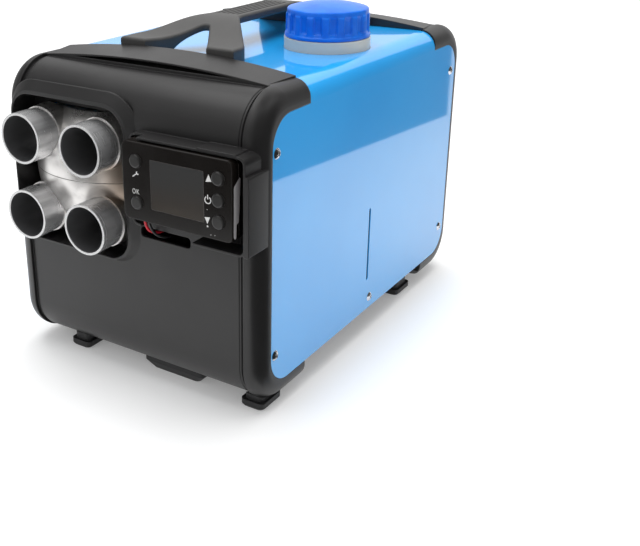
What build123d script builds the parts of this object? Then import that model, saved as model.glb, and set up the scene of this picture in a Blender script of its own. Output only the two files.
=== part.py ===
from build123d import *
from math import cos, pi, sin
import os

# Portable diesel air heater: a sheet housing between two moulded end covers, with four warm-air pipes.

# Millimetres. X runs across the heater, +Y from its front to its back, +Z up; the feet stand on Z = 0.
# The origin is on the ground, under the middle of the overall length and width.

# Blue sheet housing
housing_width = 250.0
panel_length = 334.0
panel_bottom = 24.0        # lower edge of the side panels above the ground
sheet_top = 255.0
sheet_thickness = 1.2
bend_radius = 16.0         # outer radius between the top and the sides
panel_corner_radius = 24.0
arm_drop = 16.7            # from the top down to the panel's edge below a cover's arm
arm_length = 52.0
sheet_setback = 22.0       # top of the sheet starts this far behind the panel's front edge
slot_width = 3.2           # fuel level slot
slot_length = 68.0
slot_bottom = 29.5
slot_setback = 161.0
fit_gap = 0.3              # clearance between pieces that are fitted to each other

# Moulded end covers
cover_reach = 16.0         # front of the roll to the panel's front edge
cover_drop = 17.0          # lowest line of the roll below the panel's lower edge
cover_wall = 3.0
cover_rise = 1.0
cover_radius = 36.0        # quarter-rounds at the top and bottom of the C-shaped cover
roll_radius = 14.0
roll_width = 15.0
field_inset = 1.5          # the field between the rolls lies this much deeper
groove_shoulder = 4.5      # a shallow step, then the groove, beside each roll
groove_shoulder_depth = 0.5
groove_width = 2.7
groove_depth = 1.6
flange_length = 18.0       # part of the cover's side that lies behind the panel
flange_lap = 5.0
arm_chamfer = 8.0

# Crowned band across the top of each cover
band_setback = 20.0
band_front_half = 107.0
band_rear_half = 112.0
band_front_crown = 6.0
band_rear_crown = 8.0
band_rear_lift = 1.5
band_lip = 2.2
crest_cut = 1.8            # the cover's crest is lowered in front of the band
crest_setback = 2.0
shadow_gap_depth = 12.0
shadow_gap_half = 78.0

# Warm-air outlet: four pipes round one axis, which is also the axis of the heater unit
duct_inset = 64.7          # the axis from the housing's left side
duct_height = 141.6        # above the panel's lower edge
pipe_spacing_x = 63.5
pipe_spacing_z = 64.9
pipe_radius = 21.0
pipe_wall = 2.0
seat_step = 0.4            # behind the duct's seat the pipe is this much thinner
pipe_reach = 17.4          # pipe ends in front of the cover's roll
pipe_socket = 14.0         # length of each pipe inside the manifold
manifold_nose = 6.0        # front of the manifold's sockets behind the roll's front
dome_reach = 2.3           # top of the manifold's dome in front of the roll
dome_radius = 74.6
manifold_shoulder = 34.0   # the dome ends this far behind the roll's front
collar_step = 1.6          # widest part of a socket beyond the pipe
socket_taper = 4.0         # degrees
manifold_wall = 3.0
manifold_ring_radius = 50.0
manifold_corner = 24.0
recess_left = 55.0         # from the duct's axis to each edge of the recess
recess_right = 63.3
recess_up = 65.4
recess_down = 58.6
recess_radius = 20.0
recess_depth = 24.0
recess_wall = 2.0
rim_height = 3.5
rim_width = 12.0
rim_left_width = 4.0

# Control unit
controller_inset = 60.8    # middle of the unit from the housing's right side
controller_height = 160.4
controller_width = 99.0
controller_tall = 61.0
controller_reach = 20.0    # button tops in front of the cover's roll
front_shell_depth = 7.5
rear_shell_depth = 6.5
shell_wall = 1.6
controller_radius = 5.0
screen_width = 47.6
screen_tall = 38.0
screen_shift = 1.0
window_thickness = 1.4
display_depth = 2.6
button_radius = 5.3
button_rise = 2.0
button_travel = 0.8
button_column = 37.6       # right-hand buttons from the middle of the unit
left_column = -35.9
button_pitch = 16.2
board_thickness = 1.6
cradle_wall = 1.8
cradle_radius = 6.0
cradle_root = 4.0          # depth behind the roll's front at which the low ring starts
cradle_rim_root = 6.5
cradle_ring_reach = 6.5    # low ring in front of the roll
cradle_reach = 15.0        # tall rim in front of the roll
cradle_gap = 6.6           # from the unit to the rim on its right
cradle_lip_gap = 1.0
cradle_pad = 10.0
ledge_gap = 8.3
cradle_gap_left = -43.0    # the ring is open below the unit, from here
cradle_gap_right = 11.4    # to here, from the unit's middle
cradle_cut = 12.8          # the rim starts this far from the unit's left side
cradle_step_start = 17.0   # from here the rim's top is higher
cradle_step = 1.0
guide_width = 4.4          # post beside the unit
guide_tall = 60.0
guide_root = 12.0
guide_radius = 1.5
cable_hole_shift = -26.2   # from the unit's middle
cable_hole_drop = 9.9      # middle of the hole below the ledge
cable_hole_width = 48.0
cable_hole_tall = 8.7
lead_radius = 1.1
lead_shift = -38.2
lead_pitch = 4.0
lead_fall = 12.0
lead_lean = 9.0
lead_dip = 19.0
lead_entry = 20.0
lead_turn = 34.0
lead_end = 26.0

# Carry handle
handle_half = 56.0
handle_foot_width = 25.0
handle_foot_length = 20.0
handle_foot_height = 15.0
handle_rise = 28.0         # top of the grip above the sheet
handle_arm_length = 68.0   # from the foot's front to the start of the grip
grip_half = 16.0
grip_thickness = 7.0
handle_edge_radius = 2.5
handle_under_radius = 2.0
handle_pull = 24.0         # sets how slowly the legs rise into the grip
handle_sweep = 34.0
handle_toe = 9.0
handle_leg = 16.0
handle_bend_radius = 16.0
handle_gap = 1.5           # between the band and the handle's feet
ridge_count = 5
ridge_width = 2.0
ridge_depth = 1.0
ridge_pitch = 4.8

# Fuel tank and cap
tank_clearance = 9.3       # between the heater unit and the tank
tank_side_gap = 6.0
tank_front = 72.0
tank_length = 200.0
tank_wall = 3.0
tank_radius = 12.0
tank_edge_radius = 10.0
neck_inset = 47.0          # from the tank's right side
neck_setback = 172.0
collar_radius = 36.5
collar_height = 9.5        # visible above the sheet
neck_radius = 31.5
neck_bore = 27.0
neck_height = 29.0
cap_radius = 35.8
cap_wall = 3.6
cap_height = 23.5
cap_crown = 5.0
cap_skirt_height = 5.0
cap_flutes = 17
cap_flute_radius = 3.4
seal_thickness = 2.0

# Base, feet and front skid
base_thickness = 1.5
base_flange = 22.0
base_setback = 8.0
foot_width = 21.5
foot_length = 29.0
foot_bevel = 1.5
foot_corner = 4.0
foot_pad_height = 6.0
foot_neck_step = 2.5       # the neck above the pad is this much narrower on each side
rear_foot_inset = 58.0
foot_inset = 18.2          # right-hand feet from the housing's side
left_foot_inset = 50.0
skid_x = 25.5
skid_width = 62.0
skid_length = 26.0
skid_bevel = 7.0
skid_setback = 18.0
boss_radius = 6.0

# Heater unit
casing_width = 112.0
casing_tall = 114.0
casing_radius = 34.0
casing_wall = 2.5
casing_front = 34.0
casing_length = 292.0
casing_port = 47.0
exchanger_radius = 35.0
exchanger_wall = 3.0
exchanger_front = 60.0
exchanger_length = 161.0
fin_count = 28
fin_thickness = 1.8
fin_radius = 47.0
fin_length = 124.0
flange_thickness = 6.0
chamber_radius = 25.0
chamber_wall = 1.5
chamber_length = 90.0
burner_length = 14.0
plug_radius = 3.5
plug_length = 62.0
motor_radius = 21.0
motor_length = 42.0
shaft_radius = 3.0
shaft_clearance = 0.05
impeller_radius = 33.0
impeller_length = 9.0
impeller_blades = 16
fan_radius = 44.0
fan_hub_radius = 14.0
fan_length = 14.0
fan_blades = 7
fan_pitch_angle = 38.0
running_gap = 1.5
exhaust_radius = 12.0
exhaust_wall = 1.4
stub_step = 0.5            # the pipes are this much thinner above the base plate
intake_radius = 12.5
stub_ground_gap = 9.0
bracket_thickness = 2.0
bracket_width = 60.0
bracket_length = 110.0
bracket_foot = 14.0
bracket_setback = 152.0
sensor_size = 8.0
circuit_width = 62.0
circuit_length = 44.0
circuit_setback = 240.0
circuit_rise = 34.0
fuel_inlet_setback = 232.0
fuel_inlet_rise = 9.5

# Fuel pump, filter and hoses
pump_shift = 42.3          # from the duct's axis
pump_setback = 292.0
pump_radius = 14.0
pump_length = 56.0
pump_lift = 4.0
tank_port_setback = 200.0
pump_bore = 5.0
plunger_radius = 4.95
plunger_length = 24.0
filter_radius = 11.0
filter_length = 34.0
filter_setback = 237.0
hose_radius = 2.6
spigot_radius = 2.5
spigot_length = 10.0

# Screws, inlet grille and cable gland
screw_head_radius = 4.2
screw_head_height = 2.0
screw_radius = 1.95
screw_length = 5.0
screw_clearance = 0.1
screw_front_inset = 5.5
screw_rear_inset = 10.5
screw_high = 188.0
screw_low = 26.5
screw_middle = 10.6
grille_radius = 48.0
grille_rings = 4
grille_bar = 2.4
grille_depth = 3.0
gland_x = 78.0
gland_height = 34.0
gland_radius = 9.0
gland_groove = 2.5
gland_bore = 4.0

# Places worked out from the sizes above
half_width = housing_width / 2
duct_x = duct_inset - half_width
controller_x = half_width - controller_inset
lead_x = controller_x + lead_shift
total_length = 2 * cover_reach + panel_length + controller_reach
panel_front = -total_length / 2 + controller_reach + cover_reach
panel_rear = panel_front + panel_length
middle_y = (panel_front + panel_rear) / 2
roll_front = panel_front - cover_reach
face_front = roll_front + field_inset
arm_end = panel_front + arm_length
cover_bottom = panel_bottom - cover_drop
field_bottom = cover_bottom + field_inset
cover_top = sheet_top + cover_rise
arm_edge = sheet_top - arm_drop
duct_z = panel_bottom + duct_height
casing_start = panel_front + casing_front
base_bottom = panel_bottom + fit_gap
base_top = base_bottom + base_thickness
left_foot_x = left_foot_inset - half_width
right_foot_x = half_width - foot_inset
foot_columns = (left_foot_x, skid_x, right_foot_x)
collar_front = roll_front + manifold_nose
manifold_half_x = pipe_spacing_x / 2 + pipe_radius - 1
manifold_half_z = pipe_spacing_z / 2 + pipe_radius - 1
pipe_end = roll_front - pipe_reach
pipe_seat = pipe_reach - dome_reach - fit_gap
land_radius = pipe_radius - seat_step
controller_z = panel_bottom + controller_height
controller_face = roll_front - controller_reach + button_rise
controller_back = controller_face + front_shell_depth + rear_shell_depth
lead_y = controller_back - rear_shell_depth / 2 - shell_wall / 2
lead_columns = (lead_x, lead_x + lead_pitch)
plug_x = duct_x + casing_width / 2 + lead_radius + fit_gap
seal_low = sheet_top + neck_height + screw_clearance
casing_low = duct_z - casing_tall / 2
exhaust_y = panel_front + exchanger_front + exchanger_length - exhaust_radius - flange_thickness
impeller_y = panel_front + exchanger_front + exchanger_length + burner_length + running_gap
intake_y = impeller_y + impeller_length / 2
motor_y = impeller_y + impeller_length + 4 * running_gap
fan_y = motor_y + motor_length + 4 * running_gap
sensor_y = panel_front + exchanger_front + exchanger_length - flange_thickness - sensor_size / 2 - running_gap
board_z = duct_z + circuit_rise
filter_z = base_top + filter_radius + fit_gap
pump_y = panel_front + pump_setback
pump_low = base_top + pump_lift
tank_port_y = panel_front + tank_port_setback
tank_left = duct_x + casing_width / 2 + tank_clearance
tank_right = half_width - tank_side_gap
neck_x = tank_right - neck_inset
pump_x = duct_x + pump_shift
fuel_inlet_y = panel_front + fuel_inlet_setback


def facing(y):
    """Upright plane at depth y, seen from the front: its own x and y run along X and Z."""
    return Plane.XZ.offset(-y)


def sideways(x):
    """Upright plane at x: its own x and y run along Y and Z."""
    return Plane.YZ.offset(x)


def save(builder, label):
    """Name the finished piece and write it to its own file."""
    builder.part.label = label
    export_step(builder.part, f"parts/{label}.step")
    return builder.part


# ---------------------------------------------------------------- housing


def panel_screw_places():
    """Y and Z of the screws on one side panel."""
    front = panel_front + screw_front_inset
    rear = panel_rear - screw_rear_inset
    high = panel_bottom + screw_high
    low = panel_bottom + screw_low
    return [(front, high), (front, low), (rear, high), (rear, low), (middle_y, panel_bottom + screw_middle)]


def housing_shell():
    """Sheet bent over the top, with rounded side panels notched for the covers' arms."""
    inner_radius = bend_radius - sheet_thickness
    arm_ends = arm_length + fit_gap
    with BuildPart() as shell:
        with BuildSketch(facing(panel_front)) as section:
            with Locations((0, (panel_bottom + sheet_top) / 2)):
                Rectangle(housing_width, sheet_top - panel_bottom)
            fillet(section.vertices().group_by(Axis.Y)[-1], bend_radius)
            with BuildSketch(mode=Mode.PRIVATE) as hollow:
                with Locations((0, (panel_bottom + sheet_top) / 2 - sheet_thickness)):
                    Rectangle(housing_width - 2 * sheet_thickness, sheet_top - panel_bottom)
                fillet(hollow.vertices().group_by(Axis.Y)[-1], inner_radius)
            add(hollow.sketch, mode=Mode.SUBTRACT)
        extrude(amount=-panel_length)
        lower_corners = shell.edges().filter_by(Axis.X).group_by(Axis.Z)[0]
        fillet(lower_corners, panel_corner_radius)
        for end, corner in ((panel_front, arm_ends), (panel_rear - arm_ends, 0)):
            with BuildSketch(sideways(-half_width)) as notch:
                with Locations((end + arm_ends / 2, (arm_edge + sheet_top + 1) / 2)):
                    Rectangle(arm_ends, sheet_top + 1 - arm_edge)
            extrude(amount=bend_radius, mode=Mode.SUBTRACT)
            with BuildSketch(sideways(half_width)):
                add(notch.sketch_local)
            extrude(amount=-bend_radius, mode=Mode.SUBTRACT)
        upper_corners = (
            shell.edges()
            .filter_by(Axis.X)
            .filter_by_position(Axis.Z, arm_edge - 0.1, arm_edge + 0.1)
            .filter_by(lambda e: e.center().Y < panel_front + 1 or e.center().Y > panel_rear - 1)
        )
        fillet(upper_corners, panel_corner_radius)
        with BuildSketch(Plane.XY.offset(sheet_top)):
            for edge_y in (panel_front + sheet_setback / 2, panel_rear - sheet_setback / 2):
                with Locations((0, edge_y)):
                    Rectangle(housing_width, sheet_setback)
            with Locations((neck_x, panel_front + neck_setback)):
                Circle(collar_radius + fit_gap)
        extrude(amount=-2 * sheet_thickness, mode=Mode.SUBTRACT)
        with BuildSketch(sideways(half_width)):
            slot_y = panel_front + slot_setback
            slot_z = panel_bottom + slot_bottom + slot_length / 2
            with Locations((slot_y, slot_z)):
                SlotOverall(slot_length, slot_width, rotation=90)
        extrude(amount=-2 * sheet_thickness, mode=Mode.SUBTRACT)
        with BuildSketch(sideways(-half_width)):
            with Locations(*panel_screw_places()):
                Circle(screw_radius + screw_clearance)
        extrude(amount=housing_width, mode=Mode.SUBTRACT)
    return save(shell, "housing_shell")


# ---------------------------------------------------------------- end covers


def cover_profile(inset, rear):
    """C-shaped side outline of a cover, closed at the given Y, as a sketch in Y and Z."""
    front = roll_front + inset
    low = cover_bottom + inset
    high = cover_top - inset
    with BuildSketch() as profile:
        with Locations(((front + rear) / 2, (low + high) / 2)):
            Rectangle(rear - front, high - low)
        fillet(profile.vertices().group_by(Axis.X)[0], cover_radius - inset)
    return profile.sketch


def panel_window(margin, rear):
    """Outline of the side panel's front part, grown by a margin, as a sketch in Y and Z."""
    front = panel_front - margin
    low = panel_bottom - margin
    high = arm_edge + margin
    with BuildSketch() as window:
        with Locations(((front + rear) / 2, (low + high) / 2)):
            Rectangle(rear - front, high - low)
        fillet(window.vertices().group_by(Axis.X)[0], panel_corner_radius + margin)
    return window.sketch


def crowned_face(half_span, low, ends, crown):
    """Face with a flat base and an arched top."""
    with BuildSketch() as face:
        with BuildLine():
            Polyline((-half_span, ends), (-half_span, low), (half_span, low), (half_span, ends))
            ThreePointArc((half_span, ends), (0, ends + crown), (-half_span, ends))
        make_face()
    return face.sketch


def lens_face(half_span, floor, rise):
    """Lens with a flat floor and an arched roof."""
    with BuildSketch() as face:
        with BuildLine():
            Line((-half_span, floor), (half_span, floor))
            ThreePointArc((half_span, floor), (0, floor + rise), (-half_span, floor))
        make_face()
    return face.sketch


def cover_hollow():
    """Space inside a cover, open at the back."""
    inner_half = half_width - sheet_thickness - fit_gap - cover_wall
    with BuildPart() as hollow:
        with BuildSketch(sideways(-inner_half)):
            add(cover_profile(cover_wall + field_inset, arm_end + flange_lap))
        extrude(amount=2 * inner_half)
        side_edges = hollow.faces().filter_by(Axis.X).edges()
        fillet(side_edges.filter_by(lambda e: e.center().Y < arm_end), roll_radius - cover_wall)
    return hollow.part


def cover_shell():
    """The form that both covers share: rolls at the sides, a field between them and a band on top."""
    field_half = half_width - roll_width
    behind = arm_end + flange_lap
    crest_end = panel_front + band_setback
    hollow = cover_hollow()
    with BuildPart() as shell:
        with BuildSketch(sideways(-half_width)):
            add(cover_profile(0, arm_end))
        extrude(amount=housing_width)
        outer_edges = shell.faces().filter_by(Axis.X).edges()
        fillet(outer_edges.filter_by(lambda e: e.center().Y < arm_end - 0.1), roll_radius)

        # The field lies deeper than the rolls, and a groove borders it on each side
        steps = [(-field_half, field_half, field_inset)]
        for width, step in ((groove_shoulder, groove_shoulder_depth), (groove_width, groove_depth)):
            steps.append((-field_half, width - field_half, field_inset + step))
            steps.append((field_half - width, field_half, field_inset + step))
        for low, high, depth in steps:
            with BuildSketch(sideways(low)):
                add(cover_profile(-1, arm_end))
                add(cover_profile(depth, behind), mode=Mode.SUBTRACT)
                with Locations(((crest_end + behind) / 2, cover_top)):
                    Rectangle(behind - crest_end, cover_radius, mode=Mode.SUBTRACT)
            extrude(amount=high - low, mode=Mode.SUBTRACT)
        add(hollow, mode=Mode.SUBTRACT)

        # Side panels lap over the flanges, and the side walls stop behind them
        for side in (-1, 1):
            with BuildSketch(sideways(side * (half_width + 1))):
                add(panel_window(fit_gap, behind))
            extrude(amount=-side * (1 + sheet_thickness + fit_gap / 2), mode=Mode.SUBTRACT)
        with BuildSketch(sideways(-half_width)):
            back_front = panel_front + flange_length
            low = panel_bottom + flange_lap
            high = arm_edge - flange_lap
            with Locations(((back_front + behind) / 2, (low + high) / 2)):
                RectangleRounded(behind - back_front, high - low, flange_lap)
        extrude(amount=housing_width, mode=Mode.SUBTRACT)

        # The top sheet slides in under the band
        with BuildSketch(Plane.XY.offset(sheet_top + fit_gap)):
            slit_front = panel_front + sheet_setback - fit_gap
            with Locations((0, (slit_front + behind) / 2)):
                Rectangle(housing_width - 2 * bend_radius + 2 * fit_gap, behind - slit_front)
        extrude(amount=-cover_wall - cover_rise, mode=Mode.SUBTRACT)
        band_low = sheet_top + fit_gap
        with BuildSketch(facing(crest_end)):
            add(crowned_face(band_front_half, band_low, cover_top, band_front_crown))
        with BuildSketch(facing(arm_end)):
            add(crowned_face(band_rear_half, band_low, cover_top + band_rear_lift, band_rear_crown))
        loft(ruled=True)
        with BuildSketch(facing(panel_front + crest_setback)):
            add(lens_face(band_front_half, cover_top - crest_cut, band_front_crown))
        extrude(amount=-(band_setback - crest_setback), mode=Mode.SUBTRACT)
        with BuildSketch(facing(crest_end)):
            add(lens_face(shadow_gap_half, sheet_top + 2 * cover_rise, band_front_crown - band_lip))
        extrude(amount=-shadow_gap_depth, mode=Mode.SUBTRACT)

        # The lower arms end in a slope, and bosses carry the base plate
        with BuildSketch(sideways(-half_width)):
            with BuildLine():
                Polyline(
                    (arm_end - arm_chamfer, cover_bottom),
                    (arm_end, cover_bottom + arm_chamfer),
                    (arm_end, cover_bottom),
                    close=True,
                )
            make_face()
        extrude(amount=housing_width, mode=Mode.SUBTRACT)
        with BuildSketch(Plane.XY.offset(base_bottom - fit_gap)):
            with Locations(*[(x, panel_front + foot_length / 2) for x in foot_columns]):
                Circle(boss_radius)
        extrude(amount=-(base_bottom - fit_gap - field_bottom - cover_wall))
    return shell.part


def bordered(left, right, low, high, radius, mode=Mode.ADD):
    """Rounded rectangle between four sides, drawn in the sketch that is open."""
    with Locations(((left + right) / 2, (low + high) / 2)):
        RectangleRounded(right - left, high - low, radius, mode=mode)


def recess_sides(margin):
    """Left, right, lower and upper side of the duct recess, grown by a margin."""
    left = duct_x - recess_left - margin
    right = duct_x + recess_right + margin
    return left, right, duct_z - recess_down - margin, duct_z + recess_up + margin


def front_cover(shell):
    """Front cover: duct recess with its raised rim, cradle for the control unit and cable hole."""
    left, right, low, high = recess_sides(0)
    pad_front = controller_back + fit_gap
    with BuildPart() as cover:
        add(shell)
        with BuildSketch(facing(face_front + 1)):
            rim = (left - rim_left_width, right + rim_width, low - rim_height, high + rim_width)
            bordered(*rim, recess_radius + 8)
        with BuildSketch(facing(face_front - rim_height)):
            bordered(left - 1, right + rim_height, low - 1, high + rim_height, recess_radius + 2)
        loft(ruled=True)
        with BuildSketch(facing(face_front)):
            bordered(*recess_sides(recess_wall), recess_radius + recess_wall)
        extrude(amount=-recess_depth)

        # Cradle: a low ring, a thin tall rim above, on the right and below, and a guide beside the unit
        wall_x = controller_x + controller_width / 2 + cradle_gap
        lip_z = controller_z + controller_tall / 2 + cradle_lip_gap
        ledge_z = controller_z - controller_tall / 2 - ledge_gap
        unit_left = controller_x - controller_width / 2 - fit_gap
        gap_left = controller_x + cradle_gap_left
        gap_right = controller_x + cradle_gap_right
        inner = (unit_left, wall_x, ledge_z, lip_z)
        outer = (unit_left - cradle_wall, wall_x + cradle_wall, ledge_z - cradle_wall, lip_z + cradle_wall)
        step = (controller_x + cradle_step_start, wall_x - cradle_radius, inner[3], outer[3] + cradle_step)
        open_left = (outer[0] - 1, unit_left + cradle_cut, outer[2] - 1, outer[3] + 1)
        open_below = (outer[0] - 1, gap_right, outer[2] - 1, inner[2] + 1)
        guide = (wall_x, wall_x + guide_width, outer[2], outer[2] + guide_tall)
        with BuildSketch(facing(roll_front + cradle_root)):
            bordered(*outer, cradle_radius)
            bordered(*inner, cradle_radius - cradle_wall, Mode.SUBTRACT)
            bordered(gap_left, gap_right, outer[2] - 1, inner[2] + 1, 0.5, Mode.SUBTRACT)
        extrude(amount=cradle_root + cradle_ring_reach)
        with BuildSketch(facing(roll_front + cradle_rim_root)):
            bordered(*outer, cradle_radius)
            bordered(*step, cradle_step / 2)
            bordered(*inner, cradle_radius - cradle_wall, Mode.SUBTRACT)
            bordered(*open_left, 0.5, Mode.SUBTRACT)
            bordered(*open_below, 0.5, Mode.SUBTRACT)
        extrude(amount=cradle_rim_root + cradle_reach)
        with BuildSketch(facing(roll_front + guide_root)):
            bordered(*guide, guide_radius)
        extrude(amount=guide_root + cradle_reach)
        with BuildSketch(facing(roll_front + cradle_root)):
            with Locations((controller_x, controller_z)):
                pad_pitch = 2.4 * cradle_pad
                with GridLocations(controller_width - pad_pitch, controller_tall - pad_pitch, 2, 2):
                    Rectangle(cradle_pad, cradle_pad)
        extrude(amount=roll_front + cradle_root - pad_front)

        # The recess is opened last, so that nothing stands in front of the pipes
        with BuildSketch(facing(roll_front - cradle_reach - 1)):
            bordered(left, right, low, high, recess_radius)
        extrude(amount=-(cradle_reach + 1 + field_inset + recess_depth - recess_wall), mode=Mode.SUBTRACT)
        with BuildSketch(facing(face_front)):
            with Locations((duct_x, duct_z)):
                hole = (2 * manifold_half_x + 2 * running_gap, 2 * manifold_half_z + 2 * running_gap)
                RectangleRounded(*hole, manifold_corner + running_gap)
        extrude(amount=-recess_depth - 1, mode=Mode.SUBTRACT)
        with BuildSketch(facing(face_front)):
            with Locations((controller_x + cable_hole_shift, ledge_z - cable_hole_drop)):
                RectangleRounded(cable_hole_width, cable_hole_tall, cover_wall)
        extrude(amount=-cover_wall - 1, mode=Mode.SUBTRACT)
        with BuildSketch(sideways(-half_width)):
            with Locations(*panel_screw_places()[:2]):
                Circle(screw_radius + screw_clearance)
        extrude(amount=housing_width, mode=Mode.SUBTRACT)
    return save(cover, "front_cover")


def rear_cover(shell):
    """Rear cover: the same form turned round, with the cold-air inlet and the hole for the cable gland."""
    back = 2 * middle_y - face_front
    with BuildPart() as cover:
        add(mirror(shell, about=facing(middle_y)))
        with BuildSketch(facing(back + 1)):
            with Locations((duct_x, duct_z)):
                Circle(grille_radius)
            with Locations((gland_x, panel_bottom + gland_height)):
                Circle(gland_radius - gland_groove)
        extrude(amount=cover_wall + 2, mode=Mode.SUBTRACT)
        with BuildSketch(sideways(-half_width)):
            with Locations(*panel_screw_places()[2:4]):
                Circle(screw_radius + screw_clearance)
        extrude(amount=housing_width, mode=Mode.SUBTRACT)
    return save(cover, "rear_cover")


def inlet_grille():
    """Round grille of rings and spokes that closes the cold-air inlet."""
    back = 2 * middle_y - face_front
    outer = grille_radius - fit_gap / 2
    pitch = (outer - 2 * grille_bar) / grille_rings
    with BuildPart() as grille:
        with BuildSketch(facing(back)):
            with Locations((duct_x, duct_z)):
                for ring in range(grille_rings + 1):
                    Circle(outer - ring * pitch)
                    Circle(outer - ring * pitch - grille_bar, mode=Mode.SUBTRACT)
                Rectangle(2 * outer - grille_bar, grille_bar)
                Rectangle(grille_bar, 2 * outer - grille_bar)
        extrude(amount=grille_depth)
    return save(grille, "inlet_grille")


def cable_gland():
    """Rubber grommet in the rear cover, with a bore for the supply lead."""
    back = 2 * middle_y - face_front
    waist = gland_radius - gland_groove - screw_clearance
    with BuildPart() as gland:
        for start, length, radius in (
            (back + field_inset, field_inset, gland_radius),
            (back, cover_wall, waist),
            (back - cover_wall, field_inset, gland_radius),
        ):
            with BuildSketch(facing(start)):
                with Locations((gland_x, panel_bottom + gland_height)):
                    Circle(radius)
            extrude(amount=length)
        with BuildSketch(facing(back + field_inset)):
            with Locations((gland_x, panel_bottom + gland_height)):
                Circle(gland_bore)
        extrude(amount=2 * field_inset + cover_wall, mode=Mode.SUBTRACT)
    return save(gland, "cable_gland")


# ---------------------------------------------------------------- base, feet and handle


def base_plate():
    """Steel tray with turned-up sides that the side panels are screwed to."""
    outer_half = half_width - sheet_thickness - fit_gap / 2
    with BuildPart() as plate:
        with BuildSketch(facing(panel_front + base_setback)):
            with Locations((0, (base_bottom + base_top) / 2)):
                Rectangle(2 * outer_half - 2 * cover_wall - 2, base_thickness)
        extrude(amount=-(panel_length - 2 * base_setback))
        with BuildSketch(facing(arm_end + fit_gap)):
            with Locations((0, (base_bottom + base_top) / 2)):
                Rectangle(2 * outer_half, base_thickness)
            for side in (-1, 1):
                with Locations((side * (outer_half - base_thickness / 2), base_bottom + base_flange / 2)):
                    Rectangle(base_thickness, base_flange)
        extrude(amount=-(panel_length - 2 * arm_length - 2 * fit_gap))
        with BuildSketch(Plane.XY.offset(base_top)):
            with Locations((duct_x, exhaust_y)):
                Circle(exhaust_radius + running_gap)
            with Locations((duct_x, intake_y)):
                Circle(intake_radius + running_gap)
        extrude(amount=-base_thickness, mode=Mode.SUBTRACT)
        with BuildSketch(sideways(-half_width)):
            with Locations(panel_screw_places()[-1]):
                Circle(screw_radius + screw_clearance)
        extrude(amount=housing_width, mode=Mode.SUBTRACT)
    return save(plate, "base_plate")


def footing(label, x, y, size, bevel, top, neck, inset=None):
    """Rounded pad with a bevelled underside and a neck, seated under a cover or the base plate."""
    width, length = size
    neck_low, neck_step = neck
    with BuildPart() as foot:
        for height, margin in ((0, bevel), (bevel, 0)):
            with BuildSketch(Plane.XY.offset(height)):
                with Locations((x, y)):
                    RectangleRounded(width - 2 * margin, length - margin, foot_corner)
        loft(ruled=True)
        with BuildSketch(Plane.XY.offset(bevel)):
            with Locations((x, y)):
                RectangleRounded(width, length, foot_corner)
        extrude(amount=neck_low - bevel)
        with BuildSketch(Plane.XY.offset(neck_low)):
            with Locations((x, y)):
                RectangleRounded(width - 2 * neck_step, length - 2 * neck_step, foot_corner)
        extrude(amount=top - neck_low)
        if inset is not None:
            with BuildSketch(sideways(x - width)):
                add(cover_profile(inset - fit_gap, arm_end))
            extrude(amount=2 * width, mode=Mode.SUBTRACT)
    return save(foot, label)


def feet():
    """Two short feet under the front cover, two taller ones under the base plate, and the front skid."""
    front_y = panel_front + foot_length / 2
    rear_y = panel_rear - rear_foot_inset - foot_length / 2
    front_top = cover_bottom + cover_radius / 3
    rear_top = base_bottom - fit_gap
    pieces = []
    for side, x, rear_x, inset in (
        ("left", left_foot_x, -right_foot_x, field_inset),
        ("right", right_foot_x, right_foot_x, 0),
    ):
        size = (foot_width, foot_length)
        neck = (foot_pad_height, foot_neck_step)
        pieces.append(footing(f"front_{side}_foot", x, front_y, size, foot_bevel, front_top, neck, inset))
        pieces.append(footing(f"rear_{side}_foot", rear_x, rear_y, size, foot_bevel, rear_top, neck))
    skid_y = panel_front + skid_setback
    skid = (skid_width, skid_length)
    skid_neck = (skid_bevel + fit_gap, 0)
    pieces.append(
        footing("front_skid", skid_x, skid_y, skid, skid_bevel, front_top, skid_neck, field_inset)
    )
    return pieces


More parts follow.
